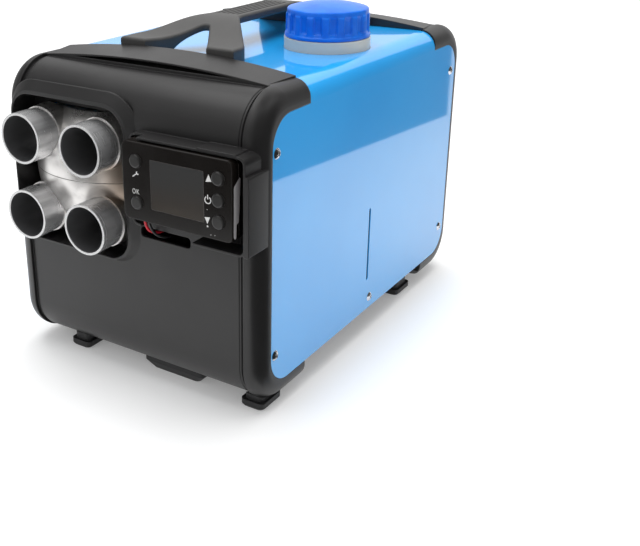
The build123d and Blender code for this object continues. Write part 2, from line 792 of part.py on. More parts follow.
def carry_handle():
    """Fixed handle whose ends fork into two legs each, with ridges along the grip."""
    start = arm_end + handle_gap
    end = 2 * middle_y - start
    foot_back = start + handle_foot_length
    grip_start = start + handle_arm_length
    foot_top = sheet_top + handle_foot_height
    top = sheet_top + handle_rise
    under = top - grip_thickness
    base = sheet_top + fit_gap
    with BuildPart() as handle:
        with BuildSketch(sideways(-handle_half)):
            for sign, foot, inner, grip in (
                (1, start, foot_back, grip_start),
                (-1, end, 2 * middle_y - foot_back, 2 * middle_y - grip_start),
            ):
                with BuildLine():
                    Line((middle_y, top), (grip, top))
                    rise = Bezier(
                        (grip, top),
                        (grip - sign * handle_pull, top),
                        (foot + sign * handle_sweep, foot_top),
                        (foot + sign * handle_toe, foot_top),
                    )
                    Polyline(rise @ 1, (foot, foot_top), (foot, base), (inner, base))
                    Bezier(
                        (inner, base),
                        (inner + sign * 6, foot_top - 2),
                        (grip - sign * handle_foot_length, under),
                        (grip + sign * 6, under),
                    )
                    Polyline((grip + sign * 6, under), (middle_y, under), (middle_y, top))
                make_face()
        extrude(amount=2 * handle_half)
        with BuildSketch(Plane.XY.offset(base)) as plan:
            with BuildLine():
                right = [
                    (handle_half, start),
                    (handle_half, start + handle_leg),
                    (grip_half, grip_start),
                    (grip_half, 2 * middle_y - grip_start),
                    (handle_half, end - handle_leg),
                    (handle_half, end),
                ]
                left = [(-x, y) for x, y in reversed(right)]
                Polyline(*right, *left, close=True)
            make_face()
            bends = plan.vertices().filter_by(lambda v: start + 1 < v.Y < end - 1)
            fillet(bends, handle_bend_radius)
            inner_half = handle_half - handle_foot_width
            for foot, sign in ((start, 1), (end, -1)):
                with BuildSketch(mode=Mode.PRIVATE) as gap:
                    with BuildLine():
                        Polyline(
                            (-inner_half, foot - sign),
                            (inner_half, foot - sign),
                            (0, foot + sign * (handle_arm_length - handle_foot_length)),
                            close=True,
                        )
                    make_face()
                    tip = gap.vertices().filter_by(lambda v: abs(v.X) < 1)
                    fillet(tip, 5)
                add(gap.sketch, mode=Mode.SUBTRACT)
        extrude(amount=handle_rise, mode=Mode.INTERSECT)

        # The upper and lower edges are rounded for the hand
        for sign, radius in ((1, handle_edge_radius), (-1, handle_under_radius)):
            upright = handle.faces().filter_by(lambda f: abs(f.normal_at().Z) < 0.05)
            level = handle.faces().filter_by(
                lambda f: sign * f.normal_at().Z > 0.3 and f.center().Z > base + 1
            )
            fillet(level.edges() & upright.edges(), radius)
        with BuildSketch(Plane.XY.offset(top)):
            with Locations((0, middle_y)):
                with GridLocations(ridge_pitch, 0, ridge_count, 1):
                    Rectangle(ridge_width, end - start - 2 * handle_arm_length - 12)
        extrude(amount=-ridge_depth, mode=Mode.SUBTRACT)
    return save(handle, "carry_handle")


# ---------------------------------------------------------------- warm-air outlet


def pipe_places():
    """Name, X and Z of the four outlet pipes."""
    places = []
    for row, z in (("upper", duct_z + pipe_spacing_z / 2), ("lower", duct_z - pipe_spacing_z / 2)):
        places.append((f"{row}_left_pipe", duct_x - pipe_spacing_x / 2, z))
        places.append((f"{row}_right_pipe", duct_x + pipe_spacing_x / 2, z))
    return places


def outlet_pipe(label, x, z):
    """Thin-walled pipe: the duct's seat, a land through the dome and a spigot inside the manifold."""
    seat_end = pipe_end + pipe_seat
    with BuildPart() as pipe:
        for start, length, radius in (
            (pipe_end, pipe_seat, pipe_radius),
            (seat_end, collar_front - seat_end, land_radius),
            (collar_front, pipe_socket, pipe_radius - pipe_wall / 3),
        ):
            with BuildSketch(facing(start)):
                with Locations((x, z)):
                    Circle(radius)
            extrude(amount=-length)
        with BuildSketch(facing(pipe_end)):
            with Locations((x, z)):
                Circle(pipe_radius - pipe_wall)
        extrude(amount=pipe_end - collar_front - pipe_socket, mode=Mode.SUBTRACT)
    return save(pipe, label)


def manifold_form(inset, back):
    """Domed at the pipes, square with rounded corners behind them and round at the heater."""
    outline = (2 * (manifold_half_x - inset), 2 * (manifold_half_z - inset), manifold_corner - inset)
    ring = manifold_ring_radius - inset
    shoulder = roll_front + manifold_shoulder + inset / 3
    with BuildPart() as form:
        with BuildSketch(facing(shoulder)):
            with Locations((duct_x, duct_z)):
                RectangleRounded(*outline)
        extrude(amount=shoulder - roll_front + dome_reach + 1)
        with Locations((duct_x, roll_front - dome_reach + dome_radius, duct_z)):
            Sphere(dome_radius - inset, mode=Mode.INTERSECT)
        with BuildSketch(facing(back)):
            with Locations((duct_x, duct_z)):
                RectangleRounded(2 * ring + 1, 2 * ring + 1, ring)
        with BuildSketch(facing(shoulder)):
            with Locations((duct_x, duct_z)):
                RectangleRounded(*outline)
        loft(ruled=True)
    return form.part


def outlet_manifold():
    """Cast manifold in an upper and a lower half, each with the sockets of two pipes."""
    back = casing_start - fit_gap
    outside = manifold_form(0, back)
    inside = manifold_form(manifold_wall, back)
    axes = [(x, z) for _, x, z in pipe_places()]
    pieces = []
    for label, keep in (("manifold_upper", Keep.TOP), ("manifold_lower", Keep.BOTTOM)):
        with BuildPart() as half:
            add(outside)
            with BuildSketch(facing(collar_front + pipe_socket)):
                with Locations(*axes):
                    Circle(pipe_radius + collar_step)
            extrude(amount=pipe_socket, taper=socket_taper)
            add(inside, mode=Mode.SUBTRACT)
            for start, length, radius in (
                (roll_front - dome_reach - 1, manifold_nose + dome_reach + 1, land_radius),
                (collar_front, pipe_socket, pipe_radius - pipe_wall / 3),
            ):
                with BuildSketch(facing(start)):
                    with Locations(*axes):
                        Circle(radius + screw_clearance)
                extrude(amount=-length, mode=Mode.SUBTRACT)
            split(bisect_by=Plane.XY.offset(duct_z), keep=keep)
        pieces.append(save(half, label))
    return pieces


# ---------------------------------------------------------------- control unit


def button_places():
    """Name, X and Z of the five buttons."""
    return [
        ("settings_button", controller_x + left_column, controller_z + button_pitch),
        ("ok_button", controller_x + left_column, controller_z - button_pitch),
        ("up_button", controller_x + button_column, controller_z + button_pitch),
        ("power_button", controller_x + button_column, controller_z),
        ("down_button", controller_x + button_column, controller_z - button_pitch),
    ]


def unit_outline(inset):
    """Outline of the control unit, drawn in the sketch that is open."""
    width = controller_width - 2 * inset
    tall = controller_tall - 2 * inset
    with Locations((controller_x, controller_z)):
        RectangleRounded(width, tall, controller_radius - inset / 2)


def controller_front_shell():
    """Front shell with the window's seat and the holes of the buttons."""
    with BuildPart() as shell:
        with BuildSketch(facing(controller_face)):
            unit_outline(0)
        extrude(amount=-front_shell_depth)
        fillet(shell.faces().sort_by(Axis.Y)[0].edges(), 1)
        with BuildSketch(facing(controller_face + shell_wall)):
            unit_outline(shell_wall)
        extrude(amount=-front_shell_depth, mode=Mode.SUBTRACT)
        with BuildSketch(facing(controller_face)):
            with Locations((controller_x + screen_shift, controller_z)):
                RectangleRounded(screen_width, screen_tall, 0.8)
        extrude(amount=-window_thickness, mode=Mode.SUBTRACT)
        with BuildSketch(facing(controller_face)):
            with Locations((controller_x + screen_shift, controller_z)):
                Rectangle(screen_width - 4, screen_tall - 4)
            with Locations(*[(x, z) for _, x, z in button_places()]):
                Circle(button_radius + fit_gap / 2)
        extrude(amount=-2 * shell_wall, mode=Mode.SUBTRACT)
    return save(shell, "controller_front_shell")


def controller_rear_shell():
    """Rear shell with the exit hole of the leads in its lower edge."""
    start = controller_face + front_shell_depth
    with BuildPart() as shell:
        with BuildSketch(facing(start)):
            unit_outline(0)
        extrude(amount=-rear_shell_depth)
        fillet(shell.faces().sort_by(Axis.Y)[-1].edges(), 1)
        with BuildSketch(facing(start)):
            unit_outline(shell_wall)
        extrude(amount=shell_wall - rear_shell_depth, mode=Mode.SUBTRACT)
        with BuildSketch(Plane.XY.offset(controller_z)):
            with Locations(*[(x, lead_y) for x in lead_columns]):
                Circle(lead_radius + screw_clearance)
        extrude(amount=-controller_tall, mode=Mode.SUBTRACT)
    return save(shell, "controller_rear_shell")


def controller_inside():
    """Window, display and circuit board, from front to back."""
    pieces = []
    display_front = controller_face + shell_wall + 2 * screw_clearance
    board_front = controller_face + front_shell_depth - board_thickness - fit_gap
    screen = (screen_width, screen_tall)
    display = (screen_width + 2, screen_tall + 4)
    inner = (controller_width - 2 * shell_wall - 1, controller_tall - 2 * shell_wall - 1)
    for label, front, depth, size, shift, radius in (
        ("controller_window", controller_face, window_thickness, screen, screen_shift, 0.8),
        ("display_module", display_front, display_depth, display, screen_shift, 0.8),
        ("controller_board", board_front, board_thickness, inner, 0, controller_radius - 1),
    ):
        gap = screw_clearance
        with BuildPart() as piece:
            with BuildSketch(facing(front)):
                with Locations((controller_x + shift, controller_z)):
                    RectangleRounded(size[0] - 2 * gap, size[1] - 2 * gap, radius)
            extrude(amount=-depth)
        pieces.append(save(piece, label))
    return pieces


def button(label, x, z):
    """Domed button with a retaining collar inside the shell and a stem towards its switch."""
    under_face = controller_face + shell_wall
    board_front = controller_face + front_shell_depth - board_thickness - fit_gap
    with BuildPart() as cap:
        with BuildSketch(facing(under_face)):
            with Locations((x, z)):
                Circle(button_radius)
        extrude(amount=under_face - controller_face + button_rise)
        fillet(cap.faces().sort_by(Axis.Y)[0].edges(), button_rise * 0.8)
        with BuildSketch(facing(under_face + screw_clearance)):
            with Locations((x, z)):
                Circle(button_radius + 1)
        extrude(amount=-0.8)
        with BuildSketch(facing(under_face)):
            with Locations((x, z)):
                Circle(2)
        extrude(amount=-(board_front - under_face - button_travel - fit_gap))
    return save(cap, label)


def controller_lead(label, x, drop, side):
    """Lead from the unit down through the cable hole to its plug beside the heater unit."""
    start_z = controller_z - controller_tall / 2 + 2
    path_points = [
        (x, lead_y, start_z),
        (x, lead_y, start_z - lead_fall),
        (x + side, lead_y + lead_lean, start_z - lead_dip - drop),
        (x + side, face_front + lead_entry, start_z - lead_dip - 2 - drop),
        (plug_x, face_front + lead_turn, start_z - lead_dip - 5 - drop),
        (plug_x, casing_start + lead_end, start_z - lead_dip - 5 - drop),
    ]
    with BuildPart() as lead:
        with BuildLine():
            FilletPolyline(*path_points, radius=(4, 4, 7, 7))
        with BuildSketch(Plane(origin=path_points[0], z_dir=(0, 0, -1))):
            Circle(lead_radius)
        sweep()
    return save(lead, label)


# ---------------------------------------------------------------- fuel system


def tank_block(inset):
    """Rounded block of the tank's outline, drawn in by an inset."""
    centre = ((tank_left + tank_right) / 2, panel_front + tank_front + tank_length / 2)
    low = base_top + fit_gap + inset
    high = sheet_top - sheet_thickness - fit_gap - inset
    with BuildPart() as block:
        with BuildSketch(Plane.XY.offset(low)):
            with Locations(centre):
                width = tank_right - tank_left - 2 * inset
                RectangleRounded(width, tank_length - 2 * inset, tank_radius - inset)
        extrude(amount=high - low)
        fillet(block.faces().filter_by(Axis.Z).edges(), tank_edge_radius - inset)
    return block.part


def fuel_tank():
    """Blow-moulded tank with a collar and a neck that stand through the top."""
    top = sheet_top - sheet_thickness - fit_gap
    neck = (neck_x, panel_front + neck_setback)
    with BuildPart() as tank:
        add(tank_block(0))
        with BuildSketch(Plane.XY.offset(top)):
            with Locations(neck):
                Circle(collar_radius)
        extrude(amount=sheet_top + collar_height - top)
        with BuildSketch(Plane.XY.offset(top)):
            with Locations(neck):
                Circle(neck_radius)
        extrude(amount=sheet_top + neck_height - top)
        add(tank_block(tank_wall), mode=Mode.SUBTRACT)
        with BuildSketch(Plane.XY.offset(sheet_top + neck_height)):
            with Locations(neck):
                Circle(neck_bore)
        extrude(amount=-(neck_height + tank_wall + 5), mode=Mode.SUBTRACT)
        with BuildSketch(sideways(tank_left)):
            with Locations((tank_port_y, filter_z)):
                Circle(spigot_radius + screw_clearance)
        extrude(amount=2 * tank_wall, mode=Mode.SUBTRACT)
    return save(tank, "fuel_tank")


def tank_fitting():
    """Spigot in the tank's side wall that the supply hose is pushed on."""
    with BuildPart() as fitting:
        with BuildSketch(sideways(tank_left + tank_wall + 1)):
            with Locations((tank_port_y, filter_z)):
                Circle(spigot_radius)
        extrude(amount=-(tank_wall + 1 + spigot_length))
        with BuildSketch(sideways(tank_left)):
            with Locations((tank_port_y, filter_z)):
                Circle(2 * spigot_radius)
        extrude(amount=-2)
        with BuildSketch(sideways(tank_left + tank_wall + 1)):
            with Locations((tank_port_y, filter_z)):
                Circle(spigot_radius / 2)
        extrude(amount=-(tank_wall + 1 + spigot_length), mode=Mode.SUBTRACT)
    return save(fitting, "tank_fitting")


def tank_cap():
    """Fluted screw cap with a crowned top and a flared skirt."""
    low = sheet_top + collar_height + fit_gap
    rim = low + cap_height
    ceiling = seal_low + seal_thickness + screw_clearance
    core = cap_radius - 1.4
    with BuildPart() as cap:
        with BuildSketch(Plane.XZ) as section:
            with BuildLine():
                Polyline(
                    (0, ceiling),
                    (cap_radius - cap_wall, ceiling),
                    (cap_radius - cap_wall, low),
                    (cap_radius + 0.4, low),
                    (cap_radius + 0.1, low + cap_skirt_height),
                    (core - 0.6, low + cap_skirt_height + 1),
                    (core - 0.6, rim - 2),
                    (core - 2, rim),
                )
                TangentArc((0, rim + cap_crown), (core - 2, rim), tangent=(1, 0))
                Line((0, rim + cap_crown), (0, ceiling))
            make_face()
        revolve(axis=Axis.Z)
        with BuildSketch(Plane.XY.offset(low + cap_skirt_height)):
            with PolarLocations(core - cap_flute_radius + 0.8, cap_flutes, start_angle=180 / cap_flutes):
                Circle(cap_flute_radius)
            Circle(cap_radius - cap_wall + 0.5, mode=Mode.SUBTRACT)
        extrude(amount=cap_height - cap_skirt_height - 4.5)
    moved = cap.part.moved(Location((neck_x, panel_front + neck_setback, 0)))
    with BuildPart() as placed:
        add(moved)
    return save(placed, "tank_cap")


def cap_seal():
    """Sealing disc between the cap and the rim of the neck."""
    with BuildPart() as seal:
        with BuildSketch(Plane.XY.offset(seal_low)):
            with Locations((neck_x, panel_front + neck_setback)):
                Circle(neck_radius)
        extrude(amount=seal_thickness)
    return save(seal, "cap_seal")


def tube_piece(label, points, radii, radius, bore=None):
    """Hose or tube swept along straight runs joined by arcs."""
    start = Vector(*points[0])
    direction = Vector(*points[1]) - start
    with BuildPart() as hose:
        with BuildLine():
            if len(points) == 2:
                Line(*points)
            else:
                FilletPolyline(*points, radius=radii)
        with BuildSketch(Plane(origin=start, z_dir=direction)):
            Circle(radius)
            if bore:
                Circle(bore, mode=Mode.SUBTRACT)
        sweep()
    return save(hose, label)


def fuel_filter():
    """In-line filter with a spigot at each end."""
    front = panel_front + filter_setback - filter_length / 2
    with BuildPart() as body:
        for start, length, radius in (
            (front, filter_length, filter_radius),
            (front - spigot_length, filter_length + 2 * spigot_length, spigot_radius),
        ):
            with BuildSketch(facing(start)):
                with Locations((pump_x, filter_z)):
                    Circle(radius)
            extrude(amount=-length)
        rims = body.faces().filter_by(GeomType.PLANE).edges()
        fillet(rims.filter_by(lambda e: e.length > 4 * pi * spigot_radius), 2)
    return save(body, "fuel_filter")


def fuel_hoses():
    """Supply hose from tank to filter, link from filter to pump, and hose from pump to heater."""
    front = panel_front + filter_setback - filter_length / 2
    back = front + filter_length
    gap = screw_clearance
    wall = hose_radius + 1.2
    bore = spigot_radius + gap
    supply = [
        (tank_left - 2 - gap, tank_port_y, filter_z),
        (pump_x, tank_port_y, filter_z),
        (pump_x, front - gap, filter_z),
    ]
    link = [(pump_x, back + gap, filter_z), (pump_x, pump_y - pump_radius - gap, filter_z)]
    feed_z = pump_low + pump_length - 10
    feed = [
        (pump_x, pump_y - pump_radius - gap, feed_z),
        (pump_x, fuel_inlet_y, feed_z),
        (pump_x, fuel_inlet_y, casing_low + hose_radius),
    ]
    return [
        tube_piece("supply_hose", supply, [12], wall, bore),
        tube_piece("filter_hose", link, None, wall, bore),
        tube_piece("heater_hose", feed, [12], wall, bore),
    ]


def fuel_pump():
    """Metering pump: body, rubber mount, plunger and its return spring."""
    pieces = []
    feed_z = pump_low + pump_length - 10
    cavity_low = pump_low + 4
    with BuildPart() as body:
        with BuildSketch(Plane.XY.offset(pump_low)):
            with Locations((pump_x, pump_y)):
                Circle(pump_radius)
        extrude(amount=pump_length)
        fillet(body.edges().filter_by(GeomType.CIRCLE), 1.5)
        for height in (filter_z, feed_z):
            with BuildSketch(facing(pump_y)):
                with Locations((pump_x, height)):
                    Circle(spigot_radius)
            extrude(amount=pump_radius + spigot_length)
        with BuildSketch(Plane.XY.offset(cavity_low)):
            with Locations((pump_x, pump_y)):
                Circle(pump_bore)
        extrude(amount=pump_length - 8, mode=Mode.SUBTRACT)
    pieces.append(save(body, "pump_body"))
    plunger_low = cavity_low + fit_gap
    spring_low = plunger_low + plunger_length
    spring_top = pump_low + pump_length - 4
    for label, low, high, outer, inner in (
        ("pump_mount", base_top, pump_low, pump_radius + 3, 0),
        ("pump_plunger", plunger_low, spring_low, plunger_radius, 0),
        ("pump_spring", spring_low, spring_top, plunger_radius - 0.4, plunger_radius - 1.6),
    ):
        with BuildPart() as piece:
            with BuildSketch(Plane.XY.offset(low)):
                with Locations((pump_x, pump_y)):
                    Circle(outer)
                    if inner:
                        Circle(inner, mode=Mode.SUBTRACT)
            extrude(amount=high - low)
        pieces.append(save(piece, label))
    return pieces


# ---------------------------------------------------------------- heater unit


def casing_section(inset):
    """Rounded section of the heater's casing about the duct's axis, in the sketch that is open."""
    with Locations((duct_x, duct_z)):
        RectangleRounded(casing_width - 2 * inset, casing_tall - 2 * inset, casing_radius - inset)


def casing_half(label, keep):
    """Upper or lower half of the plastic casing round the heater unit."""
    board_y = casing_start + circuit_setback
    with BuildPart() as half:
        with BuildSketch(facing(casing_start)):
            casing_section(0)
        extrude(amount=-casing_length)
        with BuildSketch(facing(casing_start + casing_wall)):
            casing_section(casing_wall)
        extrude(amount=-(casing_length - 2 * casing_wall), mode=Mode.SUBTRACT)
        with BuildSketch(facing(casing_start)):
            with Locations((duct_x, duct_z)):
                Circle(casing_port)
        extrude(amount=-casing_length, mode=Mode.SUBTRACT)
        with BuildSketch(Plane.XY.offset(casing_low)):
            with Locations((duct_x, exhaust_y)):
                Circle(exhaust_radius - stub_step + screw_clearance)
            with Locations((duct_x, intake_y)):
                Circle(intake_radius - stub_step + screw_clearance)
        extrude(amount=casing_wall, mode=Mode.SUBTRACT)
        split(bisect_by=Plane.XY.offset(duct_z), keep=keep)
        if keep == Keep.TOP:
            with BuildSketch(Plane.XY.offset(board_z + board_thickness + screw_clearance)):
                with Locations((duct_x, board_y)):
                    with GridLocations(circuit_width - 8, circuit_length - 8, 2, 2):
                        Circle(2.5)
            extrude(amount=duct_z + casing_tall / 2 - casing_wall / 2 - board_z - board_thickness)
        else:
            with BuildSketch(Plane.XY.offset(casing_low + fuel_inlet_rise)):
                with Locations((pump_x, fuel_inlet_y)):
                    Circle(spigot_radius)
            extrude(amount=-fuel_inlet_rise - spigot_length / 2)
    return save(half, label)


def heat_exchanger():
    """Cast tube with a closed front, a ring of lengthwise fins, and lugs that carry it in the casing."""
    front = panel_front + exchanger_front
    back = front + exchanger_length
    reach_x = casing_width - 2 * casing_wall - 2 * fit_gap
    reach_z = casing_tall - 2 * casing_wall - 2 * fit_gap
    with BuildPart() as exchanger:
        with BuildSketch(facing(front)):
            with Locations((duct_x, duct_z)):
                Circle(exchanger_radius)
        extrude(amount=-exchanger_length)
        fillet(exchanger.faces().sort_by(Axis.Y)[0].edges(), exchanger_radius / 2)
        with BuildSketch(facing(front + exchanger_radius / 2)):
            with Locations((duct_x, duct_z)):
                with PolarLocations((exchanger_radius + fin_radius) / 2 - 1, fin_count):
                    Rectangle(fin_radius - exchanger_radius + 2, fin_thickness)
        extrude(amount=-fin_length)
        with BuildSketch(facing(back - flange_thickness)):
            with Locations((duct_x, duct_z)):
                Circle(exchanger_radius + flange_thickness)
                Rectangle(reach_x, flange_thickness)
                Rectangle(flange_thickness, reach_z)
        extrude(amount=-flange_thickness)
        with BuildSketch(facing(back)):
            with Locations((duct_x, duct_z)):
                Circle(exchanger_radius - exchanger_wall)
        extrude(amount=exchanger_length - exchanger_radius / 2, mode=Mode.SUBTRACT)
        with BuildSketch(Plane.XY.offset(duct_z)):
            with Locations((duct_x, exhaust_y)):
                Circle(exhaust_radius - stub_step + screw_clearance)
        extrude(amount=-fin_radius - 1, mode=Mode.SUBTRACT)
    return save(exchanger, "heat_exchanger")


def burner_parts():
    """Combustion chamber, burner head with its plug hole, glow plug and overheat sensor."""
    back = panel_front + exchanger_front + exchanger_length
    head_y = back + burner_length / 2
    with BuildPart() as chamber:
        with BuildSketch(facing(back)):
            with Locations((duct_x, duct_z)):
                Circle(chamber_radius)
                Circle(chamber_radius - chamber_wall, mode=Mode.SUBTRACT)
        extrude(amount=chamber_length)
    save(chamber, "combustion_chamber")
    with BuildPart() as head:
        with BuildSketch(facing(back)):
            with Locations((duct_x, duct_z)):
                Circle(exchanger_radius + flange_thickness)
                Circle(shaft_radius * 2, mode=Mode.SUBTRACT)
        extrude(amount=-burner_length)
        with BuildSketch(Plane.XY.offset(duct_z)):
            with Locations((duct_x, head_y)):
                Circle(plug_radius + screw_clearance)
        extrude(amount=exchanger_radius + 2 * flange_thickness, mode=Mode.SUBTRACT)
    save(head, "burner_head")
    with BuildPart() as plug:
        with BuildSketch(Plane.XY.offset(duct_z + shaft_radius * 3)):
            with Locations((duct_x, head_y)):
                Circle(plug_radius)
        extrude(amount=plug_length - casing_tall / 4)
        with BuildSketch(Plane.XY.offset(duct_z + exchanger_radius + flange_thickness + fit_gap)):
            with Locations((duct_x, head_y)):
                RegularPolygon(2 * plug_radius, 6)
        extrude(amount=4)
    save(plug, "glow_plug")
    with BuildPart() as sensor:
        with BuildSketch(Plane.XY.offset(duct_z + exchanger_radius + fit_gap)):
            with Locations((duct_x, sensor_y)):
                Rectangle(sensor_size, sensor_size)
        extrude(amount=sensor_size / 2)
    save(sensor, "overheat_sensor")


def blower_parts():
    """Motor with its bracket, the shaft, the combustion-air impeller and the hot-air fan."""
    clearance = screw_clearance / 4
    with BuildPart() as motor:
        with BuildSketch(facing(motor_y)):
            with Locations((duct_x, duct_z)):
                Circle(motor_radius)
        extrude(amount=-motor_length)
        fillet(motor.edges().filter_by(GeomType.CIRCLE), 2)
        with BuildSketch(facing(motor_y)):
            with Locations((duct_x, duct_z)):
                Circle(shaft_radius + shaft_clearance)
        extrude(amount=-motor_length, mode=Mode.SUBTRACT)
    save(motor, "motor_body")
    with BuildPart() as bracket:
        diagonal = casing_width - 2 * casing_wall - 2 * fit_gap
        with BuildSketch(facing(motor_y + motor_length / 3)):
            with Locations((duct_x, duct_z)):
                Circle(motor_radius + cover_wall)
                Rectangle(diagonal, cover_wall * 2)
                with Locations((0, -casing_tall / 4)):
                    Rectangle(cover_wall * 2, casing_tall / 2 - casing_wall * 2 - fit_gap)
                Circle(motor_radius + screw_clearance, mode=Mode.SUBTRACT)
        extrude(amount=-motor_length / 4)
    save(bracket, "motor_bracket")
    with BuildPart() as shaft:
        with BuildSketch(facing(impeller_y - running_gap)):
            with Locations((duct_x, duct_z)):
                Circle(shaft_radius)
        extrude(amount=-(fan_y + fan_length + running_gap - impeller_y + running_gap))
    save(shaft, "motor_shaft")
    with BuildPart() as impeller:
        with BuildSketch(facing(impeller_y + impeller_length - 2)):
            with Locations((duct_x, duct_z)):
                Circle(impeller_radius)
        extrude(amount=-2)
        with BuildSketch(facing(impeller_y)):
            with Locations((duct_x, duct_z)):
                Circle(2 * shaft_radius)
                with PolarLocations(impeller_radius * 0.7, impeller_blades):
                    Rectangle(impeller_radius * 0.5, 1.4, rotation=35)
        extrude(amount=-(impeller_length - 1))
        with BuildSketch(facing(impeller_y)):
            with Locations((duct_x, duct_z)):
                Circle(shaft_radius + clearance)
        extrude(amount=-impeller_length, mode=Mode.SUBTRACT)
    save(impeller, "combustion_impeller")
    with BuildPart() as fan:
        with BuildSketch(facing(fan_y)):
            with Locations((duct_x, duct_z)):
                Circle(fan_hub_radius)
        extrude(amount=-fan_length)
        for blade in range(fan_blades):
            angle = 2 * pi * blade / fan_blades
            outward = Vector(cos(angle), 0, sin(angle))
            root = Vector(duct_x, fan_y + fan_length / 2, duct_z) + outward * (fan_hub_radius - 2)
            with BuildSketch(Plane(origin=root, x_dir=(0, 1, 0), z_dir=outward)):
                Rectangle(fan_length * 0.9, 1.6, rotation=fan_pitch_angle)
            extrude(amount=fan_radius - fan_hub_radius + 1)
        with BuildSketch(facing(fan_y)):
            with Locations((duct_x, duct_z)):
                Circle(shaft_radius + clearance)
        extrude(amount=-fan_length, mode=Mode.SUBTRACT)
    save(fan, "hot_air_fan")


def heater_fittings():
    """Exhaust and intake pipes, the bracket under the casing and the circuit board over the motor."""
    for label, y, radius, top in (
        ("exhaust_pipe", exhaust_y, exhaust_radius, duct_z - exchanger_radius + exchanger_wall),
        ("intake_pipe", intake_y, intake_radius, casing_low + casing_wall),
    ):
        with BuildPart() as pipe:
            for height, outer in ((top, radius - stub_step), (base_bottom - fit_gap, radius)):
                with BuildSketch(Plane.XY.offset(height)):
                    with Locations((duct_x, y)):
                        Circle(outer)
                extrude(amount=stub_ground_gap - height)
            with BuildSketch(Plane.XY.offset(top)):
                with Locations((duct_x, y)):
                    Circle(radius - exhaust_wall)
            extrude(amount=stub_ground_gap - top, mode=Mode.SUBTRACT)
        save(pipe, label)
    low = base_top + screw_clearance
    high = casing_low - fit_gap
    with BuildPart() as bracket:
        with BuildSketch(facing(panel_front + bracket_setback)):
            with Locations((duct_x, (low + high) / 2)):
                Rectangle(bracket_width, high - low)
            with Locations((duct_x, (low + high) / 2 - bracket_thickness)):
                Rectangle(bracket_width - 2 * bracket_thickness, high - low, mode=Mode.SUBTRACT)
            for side in (-1, 1):
                foot_x = duct_x + side * (bracket_width / 2 - bracket_foot / 2)
                with Locations((foot_x, low + bracket_thickness / 2)):
                    Rectangle(bracket_foot, bracket_thickness)
        extrude(amount=-bracket_length)
        with BuildSketch(Plane.XY.offset(high)):
            for x, y, radius in (
                (duct_x, exhaust_y, exhaust_radius + running_gap),
                (duct_x, intake_y, intake_radius + running_gap),
            ):
                with Locations((x, y)):
                    Circle(radius)
        extrude(amount=-bracket_thickness, mode=Mode.SUBTRACT)
    save(bracket, "heater_bracket")
    with BuildPart() as circuit:
        with BuildSketch(Plane.XY.offset(board_z)):
            with Locations((duct_x, casing_start + circuit_setback)):
                Rectangle(circuit_width, circuit_length)
        extrude(amount=board_thickness)
    save(circuit, "control_circuit")


def side_screws():
    """Domed screws of both side panels."""
    with BuildPart() as screws:
        for side in (-1, 1):
            for y, z in panel_screw_places():
                with BuildSketch(Plane(origin=(side * half_width, y, z), z_dir=(side, 0, 0))):
                    Circle(screw_head_radius)
                extrude(amount=screw_head_height)
                with BuildSketch(Plane(origin=(side * half_width, y, z), z_dir=(-side, 0, 0))):
                    Circle(screw_radius)
                extrude(amount=screw_length)
        heads = screws.faces().filter_by(Axis.X)
        rims = [heads.sort_by(Axis.X)[i] for i in (*range(5), *range(-5, 0))]
        fillet([edge for face in rims for edge in face.edges()], screw_head_height * 0.75)
    return save(screws, "side_screws")


def build_all():
    """Make every piece and write it to the parts folder."""
    os.makedirs("parts", exist_ok=True)
    shell = cover_shell()
    housing_shell()
    front_cover(shell)
    rear_cover(shell)
    inlet_grille()
    cable_gland()
    base_plate()
    feet()
    carry_handle()
    for place in pipe_places():
        outlet_pipe(*place)
    outlet_manifold()
    controller_front_shell()
    controller_rear_shell()
    controller_inside()
    for place in button_places():
        button(*place)
    controller_lead("red_lead", lead_columns[0], 0, 3)
    controller_lead("black_lead", lead_columns[1], 3, 6)
    fuel_tank()
    tank_fitting()
    tank_cap()
    cap_seal()
    fuel_filter()
    fuel_hoses()
    fuel_pump()
    casing_half("heater_casing_upper", Keep.TOP)
    casing_half("heater_casing_lower", Keep.BOTTOM)
    heat_exchanger()
    burner_parts()
    blower_parts()
    heater_fittings()
    side_screws()


build_all()
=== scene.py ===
import bpy, bmesh, math, random
from mathutils import Euler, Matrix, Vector


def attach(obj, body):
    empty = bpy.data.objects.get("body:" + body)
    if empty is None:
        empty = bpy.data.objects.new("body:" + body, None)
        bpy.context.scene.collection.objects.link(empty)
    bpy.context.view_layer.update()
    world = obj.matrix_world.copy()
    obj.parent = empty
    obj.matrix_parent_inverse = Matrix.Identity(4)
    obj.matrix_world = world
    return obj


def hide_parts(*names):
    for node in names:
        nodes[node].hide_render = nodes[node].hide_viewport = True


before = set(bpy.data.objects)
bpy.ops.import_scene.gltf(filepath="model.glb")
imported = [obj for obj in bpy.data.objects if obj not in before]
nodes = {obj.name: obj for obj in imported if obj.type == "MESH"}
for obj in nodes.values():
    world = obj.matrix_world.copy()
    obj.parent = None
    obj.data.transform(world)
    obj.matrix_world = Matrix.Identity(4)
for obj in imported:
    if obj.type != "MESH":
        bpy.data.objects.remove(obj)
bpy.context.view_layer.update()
random.seed(11)

mm = 0.001

# camera first, then the cords
cameraView = {
    "place": (0.45378, -0.69063, 0.41005),
    "turn": (68.88857, 0.56737, 34.48719),  # degrees
    "lens": 52.748,
    "sensor": 36.0,
    "shift": (0.14748, -0.09147),
}


def makeCamera(settings):
    data = bpy.data.cameras.new("camera")
    data.sensor_width = settings["sensor"]
    data.lens = settings["lens"]
    data.shift_x, data.shift_y = settings["shift"]
    camera = bpy.data.objects.new("camera", data)
    camera.location = settings["place"]
    camera.rotation_euler = Euler([math.radians(a) for a in settings["turn"]])
    bpy.context.scene.collection.objects.link(camera)
    bpy.context.scene.camera = camera


makeCamera(cameraView)
print("camera done")


